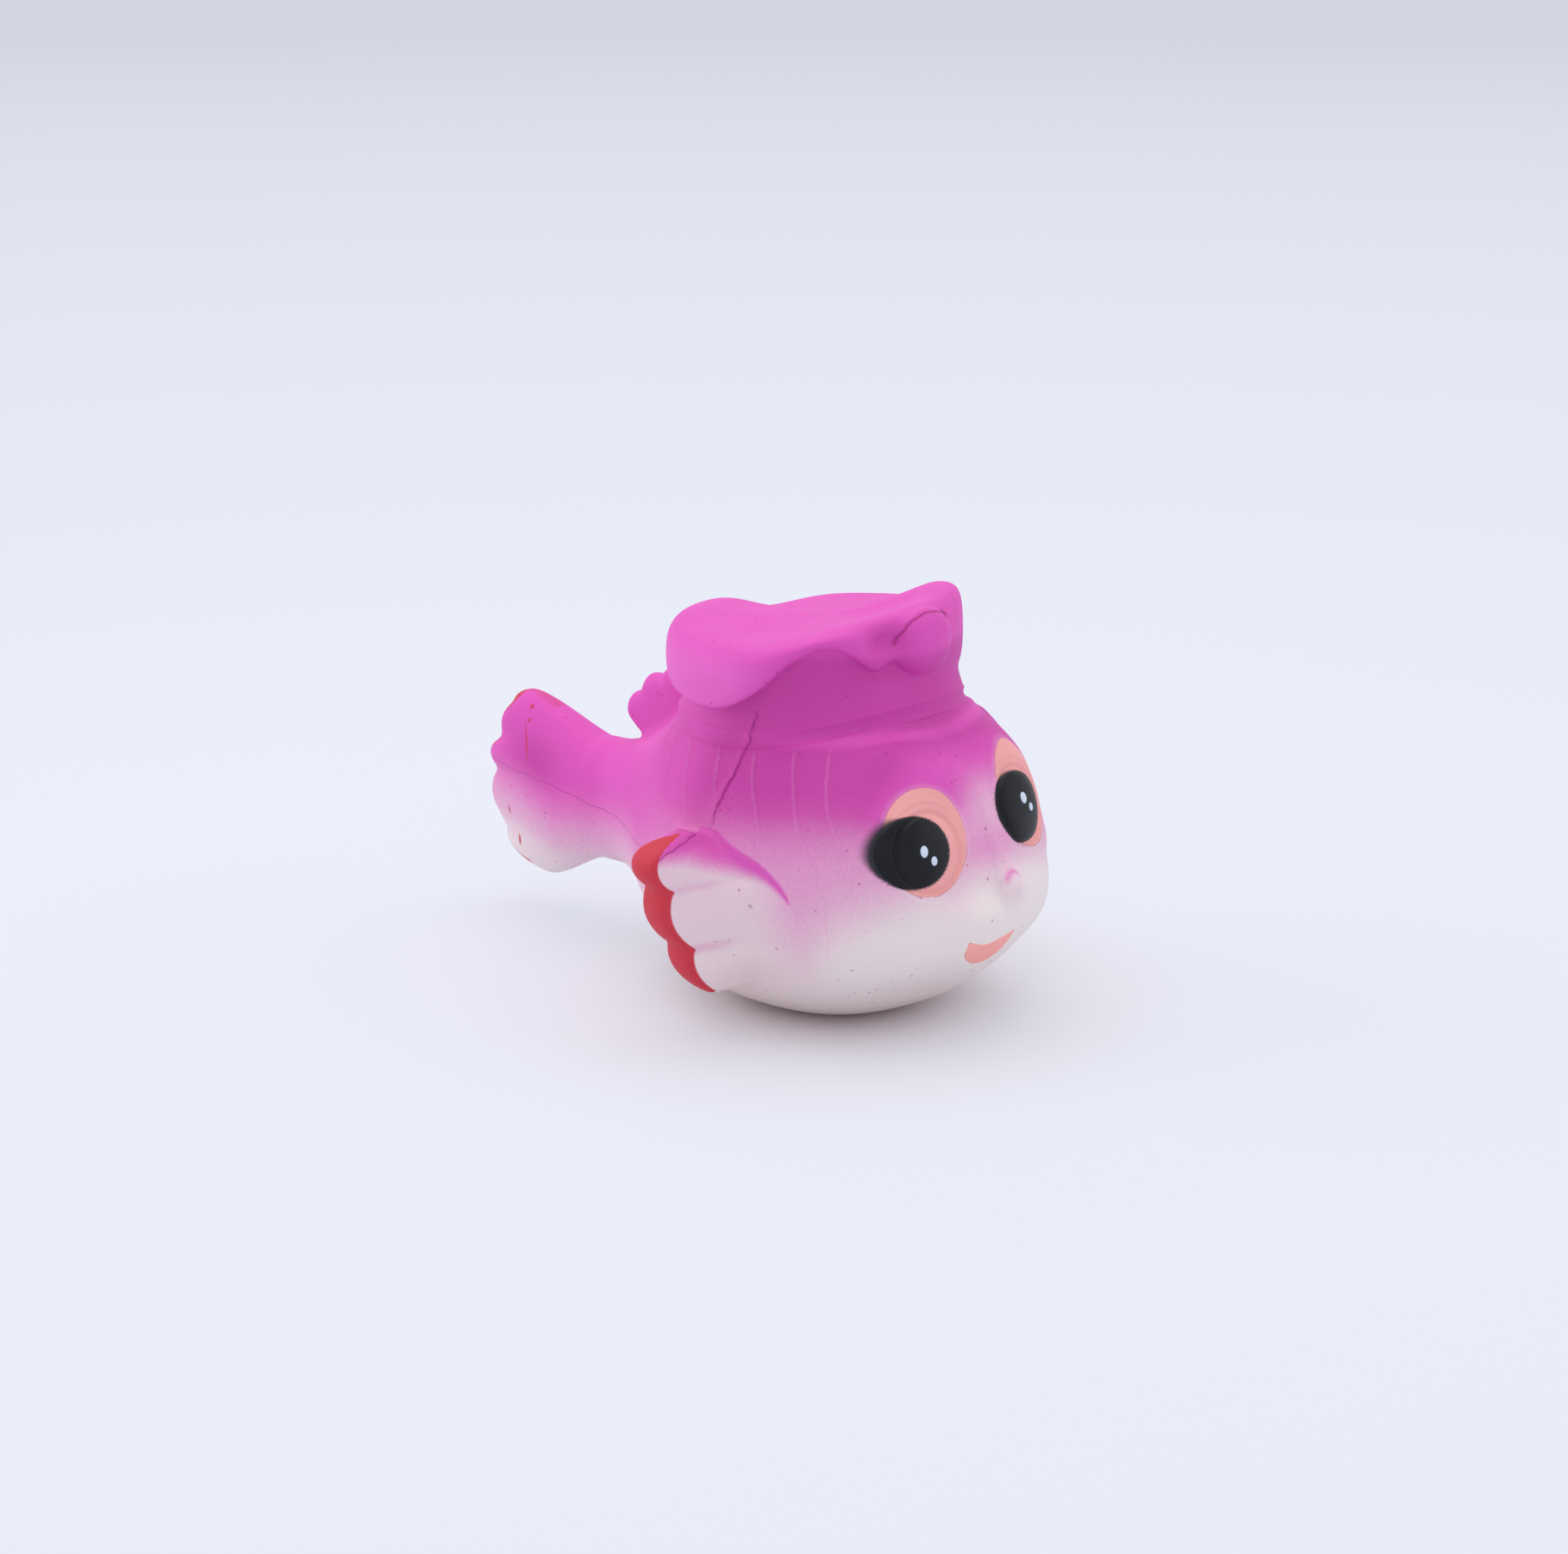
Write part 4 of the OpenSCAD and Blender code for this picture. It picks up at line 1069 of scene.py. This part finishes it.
def foam_surface(tree, shader, roughness, grain):
    """Pinholes and grain of cast foam skin. Gives the place and where holes are."""
    where = add(tree, "ShaderNodeTexCoord", out="Object")
    cells = add(tree, "ShaderNodeTexVoronoi", {"feature": "F1"}, Vector=where,
                Scale=1 / (HOLE_CELL * MM), Randomness=1.0)
    cluster = add(tree, "ShaderNodeTexNoise", Vector=where, Scale=1 / (HOLE_CLUSTER * MM), Detail=1.0)
    keep = add(tree, "ShaderNodeMapRange", i0=cluster, i1=0.36, i2=0.72, i4=HOLE_RADIUS / HOLE_CELL)
    hole = add(tree, "ShaderNodeMath", {"operation": "LESS_THAN"}, i0=cells, i1=keep)
    fine = add(tree, "ShaderNodeTexNoise", Vector=where, Scale=1 / (GRAIN * MM), Detail=3.0, Roughness=0.6)
    soft = add(tree, "ShaderNodeTexNoise", Vector=where, Scale=1 / (SWELL * MM), Detail=2.0)
    height = add(tree, "ShaderNodeMath", MULTIPLY_ADD, i0=soft, i1=0.6, i2=fine)
    pitted = add(tree, "ShaderNodeMath", MULTIPLY_ADD, i0=hole, i1=-4.0, i2=height)
    bump = add(tree, "ShaderNodeBump", Strength=grain, Distance=GRAIN_DEPTH * MM, Height=pitted)
    tree.links.new(bump, shader.inputs["Normal"])
    shader.inputs["Roughness"].default_value = roughness
    shader.inputs["IOR"].default_value = 1.46
    return where, hole


def airbrushed_foam():
    """Cast polyurethane foam skin, airbrushed pink over bare cream, with brushed red rims.

    It gives the eye a matte soft skin, a misty paint edge that breaks into fine speckles, clouds in the coat
    and small pinholes. Shade is painted into it as deeper and gathered pink and as a dark line down the
    crown's peak, and highlights as lighter pink on the hairlines and the crown's rear lobe.
    """
    material, tree, shader = new_material("airbrushed polyurethane foam")
    if tree is None:
        return material
    where, hole = foam_surface(tree, shader, 0.62, 0.5)
    marks = {name: add(tree, "ShaderNodeAttribute", {"attribute_name": name}, "Fac")
             for name in ("pink", "deep", "pale", "hairline", "red_reach", "black", "crack")}
    speckle = add(tree, "ShaderNodeTexNoise", Vector=where, Scale=1 / (SPECKLE * MM), Detail=2.0,
                  Roughness=0.7)
    cloud = add(tree, "ShaderNodeTexNoise", Vector=where, Scale=1 / (SPRAY_CLOUD * MM), Detail=3.0)
    centred = add(tree, "ShaderNodeMath", SUBTRACT, i0=speckle, i1=0.5)
    bare = add(tree, "ShaderNodeMath", SUBTRACT, i0=1.0, i1=marks["pink"])
    edge = add(tree, "ShaderNodeMath", MULTIPLY, i0=marks["pink"], i1=bare)
    grainy = add(tree, "ShaderNodeMath", MULTIPLY, i0=centred, i1=edge)
    sprayed = add(tree, "ShaderNodeMath", {**MULTIPLY_ADD, "use_clamp": True}, i0=grainy, i1=1.5,
                  i2=marks["pink"])
    # A lighter pink along the raised hairlines: a painted highlight
    thin = add(tree, "ShaderNodeMath", MULTIPLY, i0=marks["hairline"], i1=0.18)
    rim = add(tree, "ShaderNodeMapRange", i0=marks["red_reach"], i1=-0.12, i2=0.12)
    faint = add(tree, "ShaderNodeMath", MULTIPLY, i0=hole, i1=0.45)
    red = add(tree, "ShaderNodeMix", RGBA, 2, i0=cloud, i6=linear("#C62B3E"), i7=colour("red"))
    pink = linear("#D946B2")
    # The deeper pink is largely painted shade; the lightest pink is a painted highlight
    for share, coat in ((cloud, colour("pink")), (marks["deep"], colour("deep_and_shade_pink")),
                        # Pale pink for the painted highlight on the crown's rear lobe
                        (marks["pale"], linear("#FA84DE"))):
        pink = add(tree, "ShaderNodeMix", RGBA, 2, i0=share, i6=pink, i7=coat)
    skin = colour("cream")
    for share, coat in ((sprayed, pink), (thin, linear("#F3A6DC")), (rim, red),
                        (marks["black"], colour("black")), (marks["crack"], colour("crack")),
                        (faint, colour("crack"))):
        skin = add(tree, "ShaderNodeMix", RGBA, 2, i0=share, i6=skin, i7=coat)
    tree.links.new(skin, shader.inputs["Base Color"])
    shader.inputs["Subsurface Weight"].default_value = 0.08
    shader.inputs["Subsurface Radius"].default_value = (1.6 * MM, 1.0 * MM, 1.0 * MM)
    return material


def brushed_paint(name, base, dark, roughness, misted, gloss=0.5):
    """Water-based paint brushed or sprayed on foam. It gives the eye an even matte coat that keeps the
    foam's grain, with clouds of a darker tone. A misted coat also takes a pupil's black."""
    material, tree, shader = new_material(name)
    if tree is None:
        return material
    where, hole = foam_surface(tree, shader, roughness, 0.35)
    cloud = add(tree, "ShaderNodeTexNoise", Vector=where, Scale=1 / (BRUSH_CLOUD * MM), Detail=3.0)
    layers = [(cloud, base)]
    if misted:
        black = add(tree, "ShaderNodeAttribute", {"attribute_name": "black"}, "Fac")
        layers.append((black, colour("black")))
    layers.append((add(tree, "ShaderNodeMath", MULTIPLY, i0=hole, i1=0.4), dark))
    coat = dark
    for share, layer in layers:
        coat = add(tree, "ShaderNodeMix", RGBA, 2, i0=share, i6=coat, i7=layer)
    tree.links.new(coat, shader.inputs["Base Color"])
    shader.inputs["Specular IOR Level"].default_value = gloss
    return material


def peach_paint():
    """Soft pale patches round the eyes, with a mist of black beside the pupils."""
    return brushed_paint("brushed peach paint", colour("peach"), linear("#EEA09E"), 0.6, True)


def mouth_paint():
    """A warm mouth, a little stronger than the patches."""
    return brushed_paint("brushed coral paint", colour("mouth"), linear("#F7A29C"), 0.6, False)


def black_paint():
    """Dark smooth pupils with a faint sheen."""
    return brushed_paint("sprayed black paint", colour("black"), linear("#0C0D12"), 0.4, False, 0.25)


def white_paint():
    """Small bright glints."""
    return brushed_paint("dabbed white paint", colour("glint"), linear("#C4D6EA"), 0.4, False)


def open_foam():
    """Pale dull filling inside the skin."""
    return brushed_paint("slow-rise open foam", colour("foam"), linear("#D6CEC8"), 0.85, False)


def backdrop_paper():
    """Matte paper that takes the toy's shadow. The camera also sees a painted glow on it that sheds no
    light: faint close under the toy, so that the shadow stays, and darker far away. Near the toy the paper
    is tinted warm, painted light thrown back from the toy."""
    material, tree, shader = new_material("matte backdrop paper")
    shader.inputs["Roughness"].default_value = 0.9
    smooth = {"interpolation_type": "SMOOTHSTEP"}
    where = add(tree, "ShaderNodeTexCoord", out="Object")
    reach = add(tree, "ShaderNodeVectorMath", {"operation": "DISTANCE"}, "Value", i0=where, i1=(0.02, 0, 0))
    # The painted glow is kept faint near the toy, so that its shadow shows
    near = add(tree, "ShaderNodeMapRange", smooth, i0=reach, i1=0.01, i2=0.036, i4=0.42)
    wide = add(tree, "ShaderNodeMapRange", smooth, i0=reach, i1=0.06, i2=0.4, i4=0.58)
    part = add(tree, "ShaderNodeMath", i0=near, i1=wide)
    camera = add(tree, "ShaderNodeLightPath", out="Is Camera Ray")
    seen = add(tree, "ShaderNodeMath", MULTIPLY, i0=part, i1=camera)
    # A warm pink tint near the toy: painted light thrown back from the pink body
    warm = add(tree, "ShaderNodeMapRange", i0=reach, i1=0.015, i2=0.06)
    paper = add(tree, "ShaderNodeMix", RGBA, 2, i0=warm, i6=linear("#E0D3D6"), i7=colour("floor"))
    tree.links.new(paper, shader.inputs["Base Color"])
    # The painted glow darkens with distance: a painted fall-off of light
    far = add(tree, "ShaderNodeMapRange", i0=reach, i1=0.3, i2=2.4)
    tint = add(tree, "ShaderNodeMix", RGBA, 2, i0=far, i6=linear("#E8ECF7"), i7=colour("backdrop"))
    glow = add(tree, "ShaderNodeEmission", Color=tint)
    joined = add(tree, "ShaderNodeMixShader", i0=seen, i1=shader.outputs["BSDF"], i2=glow)
    tree.links.new(joined, tree.nodes["Material Output"].inputs["Surface"])
    return material


# Pieces

def foam_piece(name, body):
    """A thin piece cut from the moulded form, for the node of the same name."""
    foam = lined(cut_piece(name), LINING)
    return finish_piece(foam, name + "_foam", body, [name], airbrushed_foam())


class FISH_OT_skin(bpy.types.Operator):
    """Cut the skin of head and back, with the face as a piece of its own"""

    bl_idname = "fish.skin"
    bl_label = "Skin"

    def execute(self, context):
        skin = airbrushed_foam()
        side = lined(cut_piece("front_skin_side"), size("skin"))
        finish_piece(side, "front_skin_side", "body", ["front_skin"], skin)
        face = lined(cut_piece("front_skin_face"), size("skin"))
        face = finish_piece(face, "front_skin_face", "body", ["front_skin"], skin)
        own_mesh(face)
        for name in ("upper_back_skin", "lower_back_skin"):
            shell = lined(cut_piece(name), size("skin"))
            finish_piece(shell, name + "_shell", "body", [name], skin)
        return {"FINISHED"}


class FISH_OT_tail(bpy.types.Operator):
    """Cut the tail's upper and lower halves and its red rim"""

    bl_idname = "fish.tail"
    bl_label = "Tail"

    def execute(self, context):
        for name, slot in (("tail_upper", "airbrushed_skin"), ("tail_lower", "airbrushed_skin"),
                           ("tail_edge", "red_paint")):
            piece = foam_piece(name, None)
            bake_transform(piece)
        return {"FINISHED"}


class FISH_OT_side_fins(bpy.types.Operator):
    """Cut the side fins with their red rims"""

    bl_idname = "fish.side_fins"
    bl_label = "Side fins"

    def execute(self, context):
        for side, sign in (("left", 1), ("right", -1)):
            for name, slot in ((side + "_fin", "airbrushed_skin"), (side + "_fin_edge", "red_paint")):
                piece = foam_piece(name, None)
                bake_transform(piece)
        return {"FINISHED"}


class FISH_OT_back_fin(bpy.types.Operator):
    """Cut the fin behind the cap"""

    bl_idname = "fish.back_fin"
    bl_label = "Back fin"

    def execute(self, context):
        piece = foam_piece("dorsal_fin", None)
        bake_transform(piece)
        return {"FINISHED"}


class FISH_OT_cap(bpy.types.Operator):
    """Cut the cap's band, floppy crown and bare badge"""

    bl_idname = "fish.cap"
    bl_label = "Cap"

    def execute(self, context):
        for name in ("cap_band", "cap_crown", "cap_badge"):
            foam_piece(name, "body")
        return {"FINISHED"}


# How far before an eye's plane the paint starts on its way to the face
COAT_START = 12


def coat_ball(around, across):
    """A sphere to flatten into a coat: its bmesh, the angle round it, the share of the way out to its rim,
    and which places lie on its upper face."""
    bm, d = ball(around, across)
    polar = np.arccos(np.clip(d[:, 2], -1, 1)) / (np.pi / 2)
    return bm, np.arctan2(d[:, 1], d[:, 0]), np.minimum(polar, 2 - polar), polar <= 1


def lay(bm, tree, starts, toward, lift, share):
    """Lay a flattened sphere on the moulded form, from its starts along one direction. Its places stand out
    by lift, which thins to nothing at the rim."""
    points = []
    for start, out in zip(starts, lift * np.sqrt(np.clip(1 - share ** 8, 0, 1))):
        hit, normal, _, _ = tree.ray_cast(Vector(start), Vector(toward))
        if hit is None:
            raise RuntimeError("a coat of paint misses the face")
        points.append(hit + normal * out)
    place(bm, points)
    for face in bm.faces:
        face.smooth = True


def laid_paint(tree, oval, side, top, under, misty=0):
    """A thin closed coat laid on the moulded form round an eye. oval gives its middle and half sizes in the
    paint's plane, side is 1 for the left eye and -1 for the right, and a misty share of the rear is left to
    the spray."""
    bm, angle, share, upper = coat_ball(144, 72)
    inner = share * (1 - misty * step(-0.2, -0.9, np.cos(angle)))
    across = oval[0] + oval[2] * inner * np.cos(angle) + EYE_SHIFT[side][0]
    up = oval[1] + oval[3] * inner * np.sin(angle) + EYE_SHIFT[side][1]
    to_nose, to_top, out = PAINT_AXES[side]
    flip = np.array([1, side, 1])
    starts = EYE_AT + across[:, None] * to_nose + up[:, None] * to_top + COAT_START * out
    lay(bm, tree, starts * flip, -out * flip, np.where(upper, top, -under), share)
    if side > 0:
        # Across, up and out are left-handed here, so the sphere came out inside out
        bmesh.ops.reverse_faces(bm, faces=bm.faces[:])
    return bm


def moulded_tree():
    """The moulded form for laying paint on, in millimetres."""
    mesh = bpy.data.meshes["moulded_form"]
    return BVHTree.FromPolygons([v.co for v in mesh.vertices], [p.vertices for p in mesh.polygons])


def paint_piece(bm, name, material):
    """A coat on the face, for the node of the same name. It follows the face when it is pressed in."""
    piece = finish_piece(bm, name + "_paint", "face", [name], material)
    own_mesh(piece)


class FISH_OT_eyes(bpy.types.Operator):
    """Lay the peach patches, black pupils and white glints on the moulded eyes"""

    bl_idname = "fish.eyes"
    bl_label = "Eyes"

    def execute(self, context):
        tree = moulded_tree()
        glints = bmesh.new()
        for side, sign in (("left", 1), ("right", -1)):
            coat = laid_paint(tree, PATCH[sign], sign, top=0.12, under=0.3)
            mark(coat, "black", black_share(places(coat)))
            paint_piece(coat, side + "_eye_patch", peach_paint())
            pupil = laid_paint(tree, BLACK[sign], sign, top=0.22, under=0.3, misty=0.1 * (sign < 0))
            paint_piece(pupil, side + "_pupil", black_paint())
            for spot in GLINTS[sign]:
                dab = laid_paint(tree, spot, sign, top=0.36, under=0.1)
                mesh = bpy.data.meshes.new("glint")
                dab.to_mesh(mesh)
                dab.free()
                glints.from_mesh(mesh)
                bpy.data.meshes.remove(mesh)
        paint_piece(glints, "eye_glints", white_paint())
        return {"FINISHED"}


# Upper and lower edge of the mouth: place across and height
MOUTH_TOP = [(-7.8, 17.2), (-7, 17.1), (-4.6, 16.3), (-3, 16.2), (-0.3, 16.8), (2.7, 17.4)]
MOUTH_LOW = [(-7.8, 16.6), (-7.4, 15), (-6.4, 13.6), (-4.6, 12.4), (-3, 12.2), (-1.4, 12.6), (0, 13.5),
             (1.4, 15), (2.7, 17.1)]
MOUTH_ENDS = (-7.3, 2.7)


class FISH_OT_mouth(bpy.types.Operator):
    """Lay the mouth, full on the fish's right and pointed on its left"""

    bl_idname = "fish.mouth"
    bl_label = "Mouth"

    def execute(self, context):
        bm, angle, share, upper = coat_ball(160, 64)
        s, v = share * np.cos(angle), share * np.sin(angle)
        across = mix(*MOUTH_ENDS, (s + 1) / 2)
        height = mix(table(MOUTH_LOW, across), table(MOUTH_TOP, across),
                     (1 + v / np.sqrt(np.maximum(0.0004, 1 - s * s))) / 2)
        starts = np.stack([np.full(len(s), 75.0), across, height - 4], axis=1)
        lay(bm, moulded_tree(), starts, (-0.98, 0, 0.2), np.where(upper, 0.14, -0.3), share)
        paint_piece(bm, "mouth", mouth_paint())
        return {"FINISHED"}


# The foam core is the body's form, drawn in to a share about a middle
CORE_SHARE = 0.88
CORE_MIDDLE = Vector((10, 0, 26))


class FISH_OT_foam(bpy.types.Operator):
    """Fill the skin with soft foam, in a back part and a face part"""

    bl_idname = "fish.foam"
    bl_label = "Foam"

    def execute(self, context):
        for name, keep_front in (("foam_core_back", False), ("foam_core_face", True)):
            bm = trunk()
            bmesh.ops.translate(bm, vec=-CORE_MIDDLE, verts=bm.verts[:])
            bmesh.ops.scale(bm, vec=[CORE_SHARE] * 3, verts=bm.verts[:])
            bmesh.ops.translate(bm, vec=CORE_MIDDLE, verts=bm.verts[:])
            bmesh.ops.bisect_plane(bm, geom=bm.verts[:] + bm.edges[:] + bm.faces[:], plane_co=(FACE_X, 0, 0),
                                   plane_no=(1, 0, 0), clear_inner=keep_front, clear_outer=not keep_front)
            bmesh.ops.holes_fill(bm, edges=[e for e in bm.edges if e.is_boundary], sides=0)
            for face in bm.faces:
                face.smooth = True
            piece = finish_piece(bm, name, "body", ["foam_core"], open_foam())
            if keep_front:
                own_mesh(piece)
        return {"FINISHED"}


# What lights and camera look at
TARGET = Vector((0, 0, 0.03))
# Round soft lights: place, size, power and tint
LIGHTS = {"key light": ((-0.2, 0.1, 1.1), 1.3, 4.6, "#FFFCFA"),
          "rear side light": ((-0.7, -0.5, 0.45), 0.8, 1.6, "#FFFDFC"),
          "face side light": ((0.7, 0.45, 0.4), 0.8, 0.55, "#FFFDFC")}
# The camera as fitted to the photograph: turned from the fish's right side to its front, raised, and away
CAMERA_TURN = math.radians(42)
CAMERA_RISE = math.radians(16)
CAMERA_AWAY = 0.56
CAMERA_LENS = 78.7
CAMERA_SHIFT = (0.0294, 0.0074)


class FISH_OT_stage(bpy.types.Operator):
    """Set the floor, the soft light and the camera at the photograph's angle"""

    bl_idname = "fish.stage"
    bl_label = "Stage"

    def execute(self, context):
        scene = context.scene
        bm = bmesh.new()
        bmesh.ops.create_grid(bm, x_segments=2, y_segments=2, size=3.0)
        mesh = bpy.data.meshes.new("floor")
        bm.to_mesh(mesh)
        bm.free()
        floor = bpy.data.objects.new("floor", mesh)
        scene.collection.objects.link(floor)
        mesh.materials.append(backdrop_paper())

        world = bpy.data.worlds.new("soft room")
        scene.world = world
        world.use_nodes = True
        sky = world.node_tree.nodes["Background"]
        sky.inputs["Color"].default_value = linear("#F1F2F6")
        sky.inputs["Strength"].default_value = 0.9

        for name, (at, reach, power, tint) in LIGHTS.items():
            light = bpy.data.lights.new(name, "AREA")
            light.shape = "DISK"
            light.size = reach
            light.energy = power
            light.color = linear(tint)[:3]
            lamp = bpy.data.objects.new(name, light)
            lamp.location = at
            lamp.rotation_euler = (TARGET - Vector(at)).to_track_quat("-Z", "Y").to_euler()
            scene.collection.objects.link(lamp)

        camera = bpy.data.cameras.new("photo camera")
        camera.sensor_width = 36.0
        camera.lens = CAMERA_LENS
        camera.shift_x, camera.shift_y = CAMERA_SHIFT
        camera.clip_start = 0.01
        view = bpy.data.objects.new("photo camera", camera)
        level = math.cos(CAMERA_RISE)
        back = Vector((math.sin(CAMERA_TURN) * level, -math.cos(CAMERA_TURN) * level, math.sin(CAMERA_RISE)))
        view.location = TARGET + CAMERA_AWAY * back
        view.rotation_euler = back.to_track_quat("Z", "Y").to_euler()
        scene.collection.objects.link(view)
        scene.camera = view
        scene.view_settings.view_transform = "Standard"
        return {"FINISHED"}


class FISH_PT_panel(bpy.types.Panel):
    """Lists the pieces of the toy with its sizes and colours"""

    bl_idname = "FISH_PT_panel"
    bl_label = "Fish toy"
    bl_space_type = "VIEW_3D"
    bl_region_type = "UI"
    bl_category = "Fish toy"

    def draw(self, context):
        for group in (context.scene.fish_sizes, context.scene.fish_colours):
            for name in group.__annotations__:
                self.layout.prop(group, name)
        for operator in OPERATORS:
            self.layout.operator(operator.bl_idname)


OPERATORS = (FISH_OT_mould, FISH_OT_skin, FISH_OT_tail, FISH_OT_side_fins, FISH_OT_back_fin, FISH_OT_cap,
             FISH_OT_eyes, FISH_OT_mouth, FISH_OT_foam, FISH_OT_stage)
CLASSES = (FishSizes, FishColours) + OPERATORS + (FISH_PT_panel,)


def register():
    """Register the classes and the sizes and colours on the scene."""
    for cls in CLASSES:
        bpy.utils.register_class(cls)
    bpy.types.Scene.fish_sizes = bpy.props.PointerProperty(type=FishSizes)
    bpy.types.Scene.fish_colours = bpy.props.PointerProperty(type=FishColours)


def unregister():
    """Take away what register added."""
    del bpy.types.Scene.fish_colours
    del bpy.types.Scene.fish_sizes
    for cls in reversed(CLASSES):
        bpy.utils.unregister_class(cls)


def main():
    """Build the toy and its stage."""
    register()
    bpy.ops.fish.mould()
    bpy.ops.fish.skin()
    bpy.ops.fish.tail()
    bpy.ops.fish.side_fins()
    bpy.ops.fish.back_fin()
    bpy.ops.fish.cap()
    bpy.ops.fish.eyes()
    bpy.ops.fish.mouth()
    bpy.ops.fish.foam()
    bpy.ops.fish.stage()
    bpy.data.meshes.remove(bpy.data.meshes["moulded_form"])


if __name__ == "__main__":
    main()
